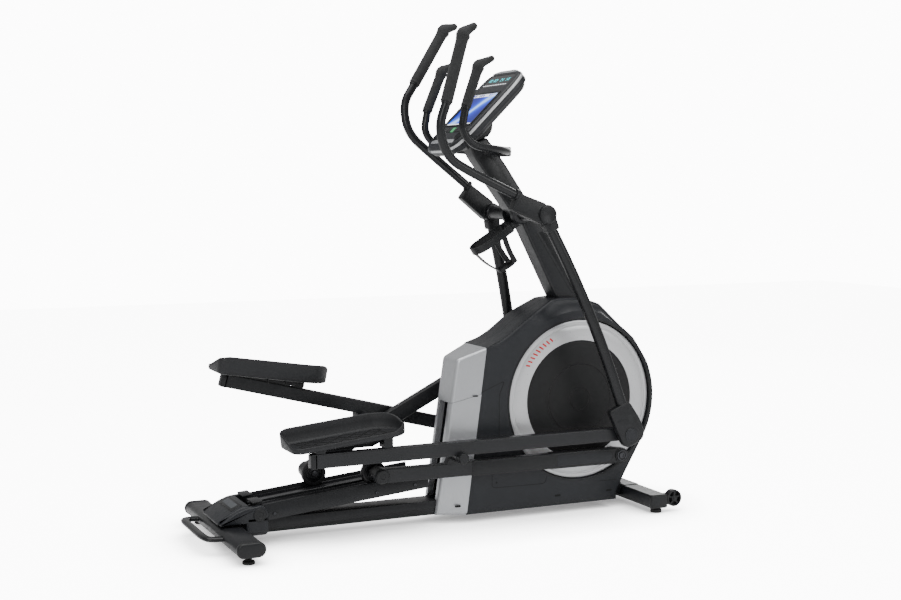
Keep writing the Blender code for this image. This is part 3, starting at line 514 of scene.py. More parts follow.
def cut(obj, *cutters):
    """Takes the cutters out of obj, before its edge modifiers."""
    for bm in cutters:
        tool = new_object("cutter", bm)
        beveled = len(obj.modifiers) > 0
        boolean = obj.modifiers.new("cut", "BOOLEAN")
        boolean.operation = "DIFFERENCE"
        boolean.solver = "EXACT"
        boolean.object = tool
        while obj.modifiers[0].name != boolean.name:
            index = list(obj.modifiers).index(boolean)
            obj.modifiers.move(index, index - 1)
        for modifier in obj.modifiers:
            modifier.show_viewport = modifier.name == boolean.name
        graph = bpy.context.evaluated_depsgraph_get()
        result = bpy.data.meshes.new_from_object(obj.evaluated_get(graph))
        obj.modifiers.remove(boolean)
        for modifier in obj.modifiers:
            modifier.show_viewport = True
        old = obj.data
        obj.data = result
        bpy.data.meshes.remove(old)
        bpy.data.objects.remove(tool)
        if not beveled:
            obj.data.set_sharp_from_angle(angle=math.radians(38.0))


def screw(name, centre, y, side, body, radius=0.006, material=None):
    """A socket-head screw whose head faces the side."""
    head = [(radius, y), (radius, y + side * 0.55 * radius), (radius * 0.86, y + side * 0.75 * radius),
        (radius * 0.5, y + side * 0.75 * radius), (radius * 0.45, y + side * 0.35 * radius),
        (0.0, y + side * 0.35 * radius)]
    return piece(name, lathe(centre, head, 24), material or DARK_STEEL, body)


# ---------------------------------------------------------------- places of the linkage at rest
def middle(node):
    """The centre of a round node, in the side view."""
    low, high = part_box(node)
    return (0.5 * (low[0] + high[0]) - AXLE_X, 0.5 * (low[2] + high[2]))


def heading(start, stop):
    """Angle of the line from start to stop."""
    return math.atan2(stop[1] - start[1], stop[0] - start[0])


def far_end(origin, angle):
    """A function that gives points in a link's own frame: (along, rise) to the side view."""
    return lambda distance, rise: turned((distance, rise), angle, origin)


CRANK_RADIUS = 0.2396
CRANK_ANGLE = math.radians(-56.85)
PEDAL_DROP = math.atan2(0.03, 0.644)


def link_places(side, word):
    """Pivots of one side in the side view, and the angles of its links."""
    turn = CRANK_ANGLE + (0.0 if side < 0 else math.pi)
    pin = turned((CRANK_RADIUS, 0.0), turn, AXLE)
    roller = middle(f"roller_axle_{word}")
    knob = middle(f"arm_knob_{word}")
    lower = middle(f"pedal_bush_{word}")
    return {"pin": pin, "roller": roller, "knob": knob, "lower": lower, "arm": heading(roller, pin),
        "pedal": heading(knob, lower) - PEDAL_DROP, "swing": heading(SWING, lower) + 0.5 * math.pi}


LINKS = {word: link_places(side, word) for side, word in SIDES}


# ---------------------------------------------------------------- housing
OPENING = 0.2862                   # edge of the side cover round the crank ring
COVER_Y = 0.093                    # the housing's outer faces, from the middle
CREST = 0.318                      # radius of the drum's shoulder
BOTTOM = 0.028
REAR_LINE = ((-0.552, BOTTOM), (-0.4735, 0.564))
SEAM_LINE = ((-0.451, BOTTOM), (-0.374, 0.604))
REAR_TAPER = 0.34                  # how fast the silver sides draw in behind the seam
SLOT_Y = 0.034                     # half width of the slot between the silver shells


def on_line(line, z):
    """The line's x at height z."""
    return along(line, (z - line[0][1]) / (line[1][1] - line[0][1]))[0]


def spot_on(line, z, ahead=0.0):
    """The line's point at height z, or a point ahead of it."""
    return (on_line(line, z) + ahead, z)


def through(outline):
    """A cutter that reaches right across the machine."""
    return prism(outline, -0.2, 0.2)


def cover_outline():
    """Side view of the black cover, from the seam's foot upwards and round to the front."""
    slope = smooth_path_2d([SEAM_LINE[1], (-0.3, 0.633), (-0.206, 0.706), (-0.108, 0.7595)], 0.08, 6)
    top = arc((-0.045, 0.401), 0.364, 100.0, 68.0, 14)
    shoulder = arc(AXLE, 0.312, 54.0, 42.0, 3)
    rim = arc(AXLE, 0.301, 32.0, -32.0, 22)
    return ([SEAM_LINE[0]] + slope[:-1] + top + shoulder + rim + [(0.148, 0.06), (0.148, BOTTOM)])


def reach(outline, angle):
    """Distance from the axle to the outline along an angle."""
    heading_x, heading_z = math.cos(angle), math.sin(angle)
    best = 0.0
    for a, b in zip(outline, outline[1:] + outline[:1]):
        ax, az = a[0] - AXLE[0], a[1] - AXLE[1]
        bx, bz = b[0] - a[0], b[1] - a[1]
        cross = heading_x * bz - heading_z * bx
        if abs(cross) < 1e-12:
            continue
        distance = (ax * bz - az * bx) / cross
        share = (ax * heading_z - az * heading_x) / cross
        if distance > 0.0 and -1e-9 <= share <= 1.0 + 1e-9:
            best = max(best, distance)
    return best


def bell(value, low, high, fade):
    """1 between low and high, falling smoothly to 0 over fade on both sides."""
    outside = max(low - value, value - high, 0.0) / fade
    return 0.0 if outside >= 1.0 else 0.5 + 0.5 * math.cos(math.pi * outside)


def side_cover(side, word):
    """Black half of the housing: drum round the ring, slanted shoulder and rounded edges."""
    outline = cover_outline()
    marks = [math.degrees(math.atan2(z - AXLE[1], x - AXLE[0])) % 360.0 for x, z in outline]
    angles = sorted(set(round(a, 3) for a in marks + [2.5 * i for i in range(144)]))
    angles = [a for i, a in enumerate(angles) if i == 0 or a - angles[i - 1] > 0.05]
    flat_steps, edge_steps = 14, 6
    rows = [[] for _ in range(3 + flat_steps + edge_steps + 2)]
    for degrees in angles:
        angle = math.radians(degrees)
        far = reach(outline, angle)
        top = bell(degrees, 30.0, 146.0, 6.0)
        edge = min(0.0025 + 0.0115 * top, 0.55 * (far - OPENING - 0.003))
        slant = 0.024 * bell(degrees, 52.0, 100.0, 26.0)
        shoulder = 0.5 * slant

        def put(row, radius, y):
            spot = turned((radius, 0.0), angle, AXLE)
            rows[row].append((spot[0], side * y, spot[1]))

        put(0, OPENING, 0.07)
        put(1, OPENING, COVER_Y - 0.0016)
        put(2, OPENING + 0.0014, COVER_Y)
        start, stop = OPENING + 0.003, far - edge
        crest = min(CREST, start + 0.55 * (stop - start))
        for k in range(flat_steps):
            if k < 6:
                radius = start + (crest - 0.003 - start) * k / 5
            else:
                radius = crest + (stop - crest) * ((k - 6) / (flat_steps - 7)) ** 1.2
            share = max(0.0, (radius - crest) / max(stop - crest, 1e-6))
            drop = slant * share + shoulder * share * (1.0 - share)
            put(3 + k, radius, COVER_Y - drop)
        for k in range(edge_steps):
            a = 0.5 * math.pi * (k + 1) / edge_steps
            put(3 + flat_steps + k, stop + edge * math.sin(a),
                COVER_Y - slant - edge * (1.0 - math.cos(a)))
        put(3 + flat_steps + edge_steps, far, 0.5 * COVER_Y - 0.5 * slant)
        put(4 + flat_steps + edge_steps, far, 0.0004)
    bm = grid(rows, caps=False)
    piece(f"side_cover_{word}", bm, COVER_BLACK, node=f"shield_{word}", sharp=32.0)


def line_strip(path, y_low, y_high, width):
    """A thin strip along a path in the side view."""
    parts = []
    for a, b in zip(path, path[1:]):
        run = (Vector(b) - Vector(a)).normalized() * (0.35 * width)
        off = Vector((-run.y, run.x)).normalized() * (0.5 * width)
        a, b = Vector(a) - run, Vector(b) + run
        parts.append(prism([tuple(p) for p in (a + off, a - off, b - off, b + off)], y_low, y_high))
    return merge(*parts)


def stadium(centre, half, radius, steps=8):
    """A slot's outline with round ends, level."""
    x, z = centre
    return (arc((x + half - radius, z), radius, -90.0, 90.0, steps)
        + arc((x - half + radius, z), radius, 90.0, 270.0, steps))


def housing_details(side, word):
    """Parting lines, slots and screws of one side cover, drawn as near-black marks of painted shade."""
    y = (side * (COVER_Y - 0.002), side * (COVER_Y + 0.00025))
    panel = [(-0.395, 0.45), (-0.305, 0.486), (-0.326, 0.437), (-0.326, 0.285), (-0.353, 0.162),
        (-0.353, 0.113), (-0.144, 0.111), (-0.137, 0.137)]
    strip = merge(line_strip(smooth_path_2d(panel, 0.014), *y, 0.0016),
        line_strip([(0.076, 0.1005), (0.147, 0.0995)], *y, 0.0016))
    piece(f"cover_lines_{word}", strip, GROOVE_SHADE)
    slots = merge(*(prism(stadium(c, 0.012, 0.0036), *y) for c in ((-0.093, 0.063), (0.118, 0.063))),
        lathe((-0.336, 0.131), [(0.0035, y[0]), (0.0035, y[1]), (0.0, y[1])], 20))
    piece(f"cover_slots_{word}", slots, GROOVE_SHADE)
    lip = spun_ring(side, AXLE, [(0.293, 0.092), (0.293, 0.0934), (0.292, 0.0939), (0.287, 0.0939),
        (0.2863, 0.0934), (0.2863, 0.08), (0.293, 0.08)], 120)
    piece(f"opening_lip_{word}", lip, TRIM_BLACK)


def smooth_path_2d(points, radius, steps=4):
    """A side-view path with its inner corners rounded."""
    return [(p.x, p.z) for p in smooth_path([(x, 0.0, z) for x, z in points], radius, steps)]


def slab(outline, y_low, y_high, edge, steps=4):
    """A prism with both of its rims rounded over."""
    y_low, y_high = sorted((y_low, y_high))
    rows = []
    for y, direction, turns in ((y_low, 1.0, range(steps, -1, -1)), (y_high, -1.0, range(steps + 1))):
        for k in turns:
            a = 0.5 * math.pi * k / steps
            rows.append([(x, y + direction * edge * (1.0 - math.sin(a)), z)
                for x, z in inset(outline, edge * (1.0 - math.cos(a)))])
    return grid(rows)


def narrow_rear(bm):
    """Draws the outer sides of a silver piece in toward its rear edge."""
    for vert in bm.verts:
        weight = max(0.0, min(1.0, (abs(vert.co.y) - 0.06) / 0.02))
        behind = on_line(SEAM_LINE, vert.co.z) - vert.co.x
        vert.co.y -= math.copysign(REAR_TAPER * weight, vert.co.y) * behind
    return bm


def silver_rear():
    """Silver cap over the rear of the housing and the two shells under it."""
    split = [spot_on(REAR_LINE, 0.4141), spot_on(SEAM_LINE, 0.4446)]
    low = spot_on(REAR_LINE, 0.38)
    whole = rounded([low, REAR_LINE[1], (-0.374, 0.604), (-0.334, 0.62), (-0.334, 0.38)],
        [0.0, 0.012, 0.004, 0.0, 0.0])
    cap = piece("silver_cap", narrow_rear(slab(whole, -COVER_Y, COVER_Y, 0.012, 6)), SILVER,
        node="rear_cap", edge=0.0007, steps=1)
    below = [(-0.6, split[0][1] - 0.045), (-0.6, split[0][1] - 0.013), split[0], split[1],
        (-0.3, split[1][1] + 0.022), (-0.3, 0.33)]
    ahead = [(SEAM_LINE[0][0] - 0.0003, BOTTOM), (SEAM_LINE[1][0] - 0.0003, SEAM_LINE[1][1]),
        (-0.3715, 0.66), (-0.25, 0.66), (-0.25, BOTTOM)]
    hollow = [spot_on(REAR_LINE, 0.38, 0.004), (-0.3, 0.38), (-0.3, 0.63), (-0.372, 0.596),
        spot_on(REAR_LINE, 0.556, 0.004)]
    cut(cap, through(below), through(ahead), prism(hollow, -0.052, 0.052))
    for side, word in SIDES:
        outline = [(REAR_LINE[0][0], BOTTOM), spot_on(REAR_LINE, 0.47), (-0.33, 0.47), (-0.33, BOTTOM)]
        shell = narrow_rear(pillow(outline, side * SLOT_Y, side * COVER_Y, 0.012, 6))
        shell = piece(f"silver_shell_{word}", shell, SILVER, node=f"rear_shell_{word}",
            edge=0.0007, steps=1)
        above = [(-0.62, split[0][1] - 0.016), (split[0][0], split[0][1] - 0.0014),
            (split[1][0], split[1][1] - 0.0014), (-0.28, split[1][1] + 0.028), (-0.28, 0.6), (-0.62, 0.6)]
        cut(shell, through(above), through([(x, z - 0.01) for x, z in ahead]),
            box((-0.6, 0.0), (-0.046, 0.046), (-0.1, 0.079)))
        y = (side * (COVER_Y - 0.002), side * (COVER_Y + 0.0003))
        # Slots on the silver shells, drawn as near-black marks of painted shade.
        marks = merge(prism(stadium((-0.484, 0.061), 0.011, 0.0036), *y),
            prism(stadium((-0.4175, 0.439), 0.01, 0.0022), *y))
        piece(f"silver_marks_{word}", marks, GROOVE_SHADE)
    inner = [spot_on(REAR_LINE, 0.079, 0.022), spot_on(REAR_LINE, 0.418, 0.022), (-0.38, 0.436),
        (-0.42, 0.079)]
    cheeks = [prism(inner, side * (SLOT_Y - 0.001), side * 0.0498) for side, _ in SIDES]
    piece("slot_cheeks", merge(*cheeks), TRIM_BLACK)


TICKS = 9                          # red marks on each silver ring


def crank_cover(side, word):
    """Silver ring with its lip and groove, the dark disc inside it and the red marks."""
    ring = [(0.2104, 0.0745), (0.2836, 0.0745), (0.2836, 0.0798), (0.2828, 0.0812), (0.2812, 0.0819),
        (0.27, 0.082), (0.2686, 0.0815), (0.2676, 0.0802), (0.264, 0.08), (0.263, 0.0808),
        (0.2616, 0.0813), (0.245, 0.0812), (0.2126, 0.0818), (0.211, 0.0814), (0.2104, 0.0804)]
    obj = piece(f"silver_ring_{word}", spun_ring(side, AXLE, ring, 144), RING_SILVER, "crank",
        f"crank_ring_{word}", sharp=25.0)
    pin = LINKS[word]["pin"]
    cut(obj, spun(side, pin, rect(0.0, 0.02, 0.06, 0.1), 32))
    dark = [(0.0, 0.0745), (0.2099, 0.0745), (0.2099, 0.08), (0.209, 0.0812), (0.2072, 0.0816),
        (0.1262, 0.0808), (0.1252, 0.0798), (0.1236, 0.0798), (0.1226, 0.0808), (0.042, 0.0812),
        (0.0406, 0.0804), (0.0394, 0.0804), (0.038, 0.0814), (0.0, 0.0816)]
    piece(f"dark_disc_{word}", spun(side, AXLE, dark, 144), DISC_BLACK, "crank",
        f"crank_disc_{word}", sharp=25.0)
    hub = [(0.0195, 0.076), (0.0195, 0.083), (0.0185, 0.084), (0.015, 0.086), (0.015, 0.099)]
    piece(f"pin_collar_{word}", spun_solid(side, pin, hub, 40), DARK_STEEL, "crank")
    ticks = []
    for k in range(TICKS):
        angle = math.radians(90.0 - side * (28.0 + 3.75 * k))
        length = 0.0105 - 0.0006 * abs(k - TICKS // 2)
        lean = -0.35 * side
        centre = turned((0.245, 0.0), angle, AXLE)
        bar = [turned(p, angle + lean, centre) for p in rect(-length, length, -0.0027, 0.0027)]
        ticks.append(prism(bar, side * 0.0805, side * 0.082))
    piece(f"ring_marks_{word}", merge(*ticks), RED, "crank")


# ---------------------------------------------------------------- roller arms
LOBES = 8                          # on the rim of the arm's knob
LOBE_DEPTH = 0.045                 # as a share of the knob's radius
KNOB_TO_PIN = 0.651                # along the roller arm


def roller_arm(side, word):
    """Steel bar from the roller to the crank pin, its moulded sleeve and the knob's stem."""
    link = LINKS[word]
    at = far_end(link["roller"], link["arm"])
    length = math.dist(link["roller"], link["pin"])
    body = f"roller_arm_{word}"
    knob = length - KNOB_TO_PIN

    def bar(points, radius=0.0):
        corners = rounded(points, radius) if radius else points
        return [at(*p) for p in corners]

    steel_bar = slab(bar(rect(0.0, length, -0.0245, 0.0245)), side * 0.1255, side * 0.1545, 0.0045, 3)
    ear = bar([(knob - 0.045, 0.0), (knob + 0.045, 0.0)] + arc((knob, 0.05), 0.0185, 20.0, 160.0, 10))
    ear = pillow(ear, side * 0.1262, side * 0.1538, 0.002)
    boss = spun_solid(side, link["roller"], [(0.0255, 0.1016), (0.027, 0.1032), (0.027, 0.154),
        (0.0258, 0.1552)], 40)
    piece(f"roller_bar_{word}", merge(steel_bar, ear, boss), FRAME_BLACK, body,
        f"roller_arm_{word}", edge=0.0006, steps=1)
    sleeve = [(knob + 0.06, -0.0268), (length - 0.29, -0.0268), (length - 0.28, -0.0285),
        (length - 0.018, -0.0285), (length + 0.013, -0.025), (length + 0.0285, -0.009),
        (length + 0.0285, 0.009), (length + 0.013, 0.025), (length - 0.018, 0.0285),
        (length - 0.28, 0.0285), (length - 0.29, 0.0268), (knob + 0.06, 0.0268)]
    piece(f"arm_sleeve_{word}", slab(bar(sleeve, 0.006), side * 0.1236, side * 0.157, 0.005, 4),
        TRIM_BLACK, body)
    plate = [(length - 0.262, -0.018), (length - 0.052, -0.018), (length - 0.04, -0.006),
        (length - 0.04, 0.006), (length - 0.052, 0.018), (length - 0.262, 0.018)]
    piece(f"sleeve_panel_{word}", pillow(bar(plate, 0.006), side * 0.156, side * 0.158, 0.0012, 3),
        COVER_BLACK, body)
    cap = [(0.0262, 0.156), (0.0262, 0.159), (0.025, 0.1606), (0.0225, 0.1612), (0.0205, 0.16)]
    piece(f"pin_cover_{word}", spun_solid(side, link["pin"], cap, 48), TRIM_BLACK, body)
    rim = [(0.015, 0.159), (0.0196, 0.159), (0.0196, 0.1618), (0.0188, 0.1626), (0.016, 0.1626),
        (0.015, 0.1616)]
    bolt = spun_solid(side, link["pin"], [(0.0112, 0.159), (0.0112, 0.1624), (0.0104, 0.1632),
        (0.0064, 0.1632), (0.0058, 0.1612)], 36)
    piece(f"pin_bolt_{word}", merge(spun_ring(side, link["pin"], rim, 48), bolt), DARK_STEEL,
        body)
    knob_head = []
    for y, size in ((0.2006, 0.0172), (0.203, 0.019), (0.22, 0.0186), (0.2232, 0.0168), (0.224, 0.012)):
        row = []
        for a in (2.0 * math.pi * i / 48 for i in range(48)):
            radius = size * (1.0 - LOBE_DEPTH * (0.5 + 0.5 * math.cos(LOBES * a)))
            x, z = turned((radius, 0.0), a, link["knob"])
            row.append((x, side * y, z))
        knob_head.append(row)
    stem = spun(side, link["knob"], rect(0.0, 0.008, 0.1553, 0.201), 24)
    piece(f"knob_head_{word}", grid(knob_head), TRIM_BLACK, body, f"arm_knob_{word}",
        edge=0.0008, steps=2)
    piece(f"knob_stem_{word}", stem, STEEL, body)


def roller_end(side, word):
    """Axle with its cap, and wheel with tyre and hub."""
    link = LINKS[word]
    axle = spun_solid(side, link["roller"], [(0.0094, 0.05), (0.0104, 0.051), (0.0104, 0.156)], 32)
    cap = spun(side, link["roller"], [(0.0, 0.1556), (0.024, 0.1556), (0.024, 0.1602), (0.0205, 0.164),
        (0.009, 0.1644), (0.0076, 0.163), (0.0, 0.1628)])
    piece(f"axle_{word}", axle, DARK_STEEL, f"roller_{word}", f"roller_axle_{word}")
    piece(f"axle_cap_{word}", cap, TRIM_BLACK, f"roller_{word}")
    tyre = spun_ring(side, link["roller"], [(0.03, 0.059), (0.0388, 0.0576), (0.0404, 0.0582),
        (0.0415, 0.06), (0.0415, 0.08), (0.0404, 0.0818), (0.0388, 0.0824), (0.03, 0.081)], 64)
    hub = spun_ring(side, link["roller"], [(0.011, 0.058), (0.018, 0.058), (0.019, 0.0592),
        (0.02, 0.0625), (0.0285, 0.0635), (0.0302, 0.06), (0.0302, 0.08), (0.0285, 0.0765),
        (0.02, 0.0775), (0.019, 0.0808), (0.018, 0.082), (0.011, 0.082)], 64)
    piece(f"tyre_{word}", tyre, WHEEL, f"wheel_{word}", f"roller_wheel_{word}")
    piece(f"wheel_hub_{word}", hub, TRIM_BLACK, f"wheel_{word}")


# ---------------------------------------------------------------- pedal arms and pedals
def pedal_arm(side, word):
    """Bar that carries the pedal, hung from the knob and joined to the leg's lower pin."""
    link = LINKS[word]
    at = far_end(link["lower"], link["pedal"])
    body = f"pedal_{word}"
    front = arc((0.0, 0.0), 0.0238, -90.0, 90.0, 14)
    outline = [at(*p) for p in [(-1.158, -0.0238)] + front + [(-1.158, 0.0238)]]
    bar = slab(outline, side * 0.1655, side * 0.1995, 0.005, 4)
    knob_eye = spun_solid(side, link["knob"], [(0.019, 0.1652), (0.02, 0.1662), (0.02, 0.1988),
        (0.019, 0.1998)], 40)
    piece(f"pedal_bar_{word}", merge(bar, knob_eye), FRAME_BLACK, body,
        f"pedal_arm_{word}", edge=0.0005, steps=1)
    plug = [at(*p) for p in rounded([(-1.1745, -0.024), (-1.154, -0.0246), (-1.154, 0.0246),
        (-1.1745, 0.024)], [0.006, 0.001, 0.001, 0.006])]
    piece(f"arm_plug_{word}", slab(plug, side * 0.1646, side * 0.2, 0.0045, 3), TRIM_BLACK,
        body)
    eye = spun_ring(side, link["lower"], [(0.014, 0.199), (0.0225, 0.199), (0.0225, 0.2002),
        (0.014, 0.2002)], 40)
    piece(f"eye_washer_{word}", eye, DARK_STEEL, body)


PEDAL_HALF = 0.205
PEDAL_IN, PEDAL_OUT = 0.03, 0.205  # the tray's inner and outer edge, from the middle
PEDAL_BACK = -1.025                # the tray's centre, along the arm from its front eye
PEDAL_LIFT = 0.043                 # its floor, above the arm's middle line
PEDAL_SLOPE = math.radians(5.35)   # between the tray and the arm


def pedal_plan():
    """Top view of a pedal as (along, |y|), from the heel's inner corner forward."""
    corners = [(-PEDAL_HALF, PEDAL_IN + 0.002), (PEDAL_HALF - 0.075, PEDAL_IN),
        (PEDAL_HALF - 0.006, PEDAL_IN + 0.062), (PEDAL_HALF - 0.004, PEDAL_OUT - 0.04),
        (PEDAL_HALF - 0.055, PEDAL_OUT), (-PEDAL_HALF, PEDAL_OUT - 0.004)]
    return rounded(corners, [0.03, 0.05, 0.045, 0.04, 0.05, 0.045], 9)


def wall_height(u, y):
    """Top of the pedal's wall: high on the inner side and round the toe, low outside."""
    inner = max(0.0, min(1.0, (PEDAL_OUT - 0.04 - y) / (PEDAL_OUT - PEDAL_IN - 0.06)))
    toe = max(0.0, min(1.0, (u - PEDAL_HALF + 0.075) / 0.06))
    heel = max(0.0, min(1.0, (-PEDAL_HALF + 0.05 - u) / 0.05))
    share = inner ** 0.8 * (1.0 - 0.3 * heel)
    share = max(share, 0.42 * toe)
    smooth = share * share * (3.0 - 2.0 * share)
    return 0.02 + 0.043 * smooth


def pedal(side, word):
    """Foot tray: dished walls of changing height, herringbone tread and ribs underneath."""
    link = LINKS[word]
    at = far_end(link["lower"], link["pedal"])
    centre = at(PEDAL_BACK, PEDAL_LIFT)
    tilt = link["pedal"] + PEDAL_SLOPE
    body = f"pedal_{word}"

    def spot(u, y, rise):
        x, z = turned((u, rise), tilt, centre)
        return (x, side * y, z)

    plan = pedal_plan()

    def ring_at(distance, share, rise, least=0.0):
        """A ring round the tray, inset by distance, at a share of the wall's height plus rise."""
        moved = inset(plan, distance) if distance else plan
        heights = [max(least, share * wall_height(*p) + rise) for p in plan]
        return [spot(u, y, height) for (u, y), height in zip(moved, heights)]

    rows = [ring_at(*row) for row in ((0.03, 0.0, 0.0), (0.01, 0.0, 0.0), (0.0035, 0.0, 0.0022),
        (0.0008, 0.0, 0.007), (0.0, 1.0, -0.01, 0.01), (0.0, 1.0, -0.003), (0.0008, 1.0, -0.001),
        (0.0026, 1.0, 0.0), (0.005, 1.0, -0.0004), (0.0066, 1.0, -0.0028), (0.0092, 0.55, 0.00495),
        (0.0135, 0.12, 0.00968), (0.02, 0.0, 0.0105), (0.03, 0.0, 0.0102))]
    piece(f"tray_{word}", grid(rows), TREAD_BLACK, body, f"pedal_{word}", sharp=60.0)

    ribs = []
    for row in range(-6, 7):
        u = 0.0255 * row
        for k in range(5):
            y = PEDAL_IN + 0.038 + 0.0255 * k
            if u > PEDAL_HALF - 0.075 and y < PEDAL_IN + 0.09:
                continue
            lean = math.radians(38.0 if (row + k) % 2 else -38.0)
            half_long, half_wide = 0.0125, 0.0026
            outline = [turned(p, lean, (u, y)) for p in rect(-half_long, half_long, -half_wide,
                half_wide)]
            levels = ((outline, 0.0098), (outline, 0.0116), (inset(outline, 0.0009), 0.0124))
            ribs.append(grid([[spot(a, b, height) for a, b in line] for line, height in levels]))
    piece(f"tread_{word}", merge(*ribs), RUBBER, body)

    under = []
    for k in range(5):
        u = -0.15 + 0.062 * k
        line = [(u, PEDAL_IN + 0.02), (u + 0.03, PEDAL_OUT - 0.06)]
        run = (Vector(line[1]) - Vector(line[0])).normalized()
        off = Vector((-run.y, run.x)) * 0.0018
        quad = [tuple(Vector(line[0]) + off), tuple(Vector(line[0]) - off), tuple(Vector(line[1]) - off),
            tuple(Vector(line[1]) + off)]
        under.append(grid([[spot(a, b, h) for a, b in quad] for h in (-0.015, 0.001)]))
    keel = [at(-1.165, 0.0243), at(-0.945, 0.0243), at(-0.86, 0.06), at(-1.165, 0.031)]
    under.append(prism(keel, side * 0.146, side * 0.15))
    for where in (-1.14, -0.905):
        rise = PEDAL_LIFT + (where - PEDAL_BACK) * math.tan(PEDAL_SLOPE) + 0.004
        post = [at(where - 0.016, 0.0243), at(where + 0.016, 0.0243), at(where + 0.016, rise),
            at(where - 0.016, rise)]
        under.append(prism(post, side * 0.15, side * 0.196))
    piece(f"tray_ribs_{word}", merge(*under), TRIM_BLACK, body, edge=0.0008, steps=1)


# ---------------------------------------------------------------- swing legs, handles and grips
LEG_Y = 0.211                      # the leg tubes' distance from the middle
HANDLE_DRAWN = math.radians(23.5)  # leg angle at which the handle's points are given


def swing(side, word):
    """Leg with its hub, bracket and pins, and the handle with its grip."""
    link = LINKS[word]
    angle = link["swing"]
    body = f"swing_{word}"
    low = math.dist(SWING, link["lower"])

    def at(forward, rise):
        return turned((forward, rise), angle, SWING)

    y = side * LEG_Y
    bow = [at(0.0, -0.02), at(0.022, -0.26), at(0.028, -0.52), at(0.016, -low + 0.1)]
    path = smooth_path([(x, y, z) for x, z in bow], 0.16, 10)
    tube = sweep(path, circle(0.0195, 32), up=Vector((0.0, 1.0, 0.0)))
    piece(f"leg_tube_{word}", tube, TUBE_BLACK, body, f"swing_leg_{word}", sharp=50.0)
    hub = spun_ring(side, SWING, [(0.0106, 0.1902), (0.0325, 0.1902), (0.0338, 0.1916), (0.0338, 0.2318),
        (0.0326, 0.2332), (0.0106, 0.2332)], 64)
    collar = [at(0.022, 0.024), at(-0.022, -0.03), at(-0.02, -0.062), at(0.026, -0.062), at(0.03, -0.01)]
    sleeve = [at(0.014, 0.034), at(-0.03, -0.024), at(-0.116, 0.068), at(-0.07, 0.112)]
    boxes = merge(slab(rounded(sleeve, [0.012, 0.006, 0.008, 0.008]), side * 0.1928, side * 0.2328, 0.005,
        4), slab(rounded(collar, 0.006), side * 0.1915, side * 0.2322, 0.005, 4), hub)
    piece(f"hub_block_{word}", boxes, TRIM_BLACK, body)
    outer = [at(0.048, -low - 0.038), at(-0.04, -low - 0.038), at(-0.046, -low + 0.115),
        at(0.04, -low + 0.115), at(0.06, -low + 0.02)]
    cover = slab(rounded(outer, [0.03, 0.03, 0.014, 0.014, 0.05], 7), side * 0.2036, side * 0.2328, 0.006,
        4)
    inner = [at(0.034, -low - 0.024), at(-0.026, -low - 0.024), at(-0.034, -low + 0.07),
        at(0.028, -low + 0.07), at(0.044, -low + 0.016)]
    panel = pillow(rounded(inner, [0.02, 0.02, 0.01, 0.01, 0.034], 6), side * 0.232, side * 0.233, 0.0008,
        2)
    piece(f"bracket_{word}", merge(cover, panel), TRIM_BLACK, body)
    cap = spun_solid(side, link["lower"], [(0.025, 0.23), (0.025, 0.2346), (0.0236, 0.2362),
        (0.019, 0.2364), (0.018, 0.2356)], 48)
    pin = spun(side, link["lower"], rect(0.0, 0.0095, 0.2006, 0.206), 32)
    piece(f"lower_cap_{word}", cap, COVER_BLACK, body)
    piece(f"lower_pin_{word}", pin, STEEL, body)

    turn = angle - HANDLE_DRAWN

    def drawn(points):
        """Handle points, turned from the leg angle they are drawn at to this leg's own."""
        spots = []
        for px, py, pz in points:
            x, z = turned((px - SWING[0], pz - SWING[1]), turn, SWING)
            spots.append(Vector((x, side * py, z)))
        return spots

    upper = drawn([(-0.318, 0.213, 1.1286), (-0.47, 0.225, 1.194), (-0.592, 0.245, 1.252),
        (-0.632, 0.262, 1.352), (-0.607, 0.268, 1.432)])
    handle = sweep(smooth_path(upper, 0.055, 12), circle(0.0155, 32))
    piece(f"handle_{word}", handle, TUBE_BLACK, body, f"handle_tube_{word}", sharp=50.0)
    grip = drawn([(-0.607, 0.268, 1.434), (-0.546, 0.27, 1.66), (-0.502, 0.272, 1.686)])
    piece(f"hand_grip_{word}", grip_mesh(grip, 0.0205), GRIP, body, f"grip_{word}", sharp=60.0)
    ring_path = [upper[0] + (upper[1] - upper[0]).normalized() * d for d in (0.004, 0.014)]
    entry = sweep(ring_path, circle(0.0205, 32))
    low_end = (grip[1] - grip[0]).normalized()
    lower = sweep([grip[0] - low_end * 0.006, grip[0] + low_end * 0.001], circle(0.0182, 32))
    piece(f"handle_collars_{word}", merge(entry, lower), TRIM_BLACK, body, edge=0.0012,
        steps=2)


def grip_mesh(points, radius, corner=0.007):
    """Foam grip along three points: a collar bead, a long barrel and a tapered round tip."""
    path = smooth_path(points, corner, 8)
    lengths = [0.0]
    for a, b in zip(path, path[1:]):
        lengths.append(lengths[-1] + (b - a).length)
    total = lengths[-1]
    tip_length = (points[2] - points[1]).length + 0.012
    stations = [0.0, 0.0012, 0.004, 0.0075, 0.01, 0.0125]
    stations += [0.0125 + (total - 0.0345) * i / 26 for i in range(1, 27)]
    stations += [total - 0.022 + 0.022 * math.sin(0.5 * math.pi * i / 10) for i in range(1, 11)]
    spots, sizes = [], []
    for s in stations:
        i = max(k for k, value in enumerate(lengths) if value <= s + 1e-9)
        i = min(i, len(path) - 2)
        share = (s - lengths[i]) / max(lengths[i + 1] - lengths[i], 1e-9)
        spots.append(path[i].lerp(path[i + 1], share))
        if s < 0.0012:
            size = 0.93
        elif s < 0.01:
            size = 1.0
        elif s < 0.0115:
            size = 0.955
        else:
            left = total - s
            taper = min(1.0, left / tip_length)
            flare = 0.24 * math.exp(-((left - tip_length + 0.006) / 0.014) ** 2)
            size = 0.985 * (0.55 + 0.45 * taper) + flare
            if left < 0.01:
                size *= 0.45 + 0.55 * math.sqrt(max(0.0, 1.0 - (1.0 - left / 0.01) ** 2))
        sizes.append(size)
    return sweep(spots, circle(radius, 36), scale=sizes)


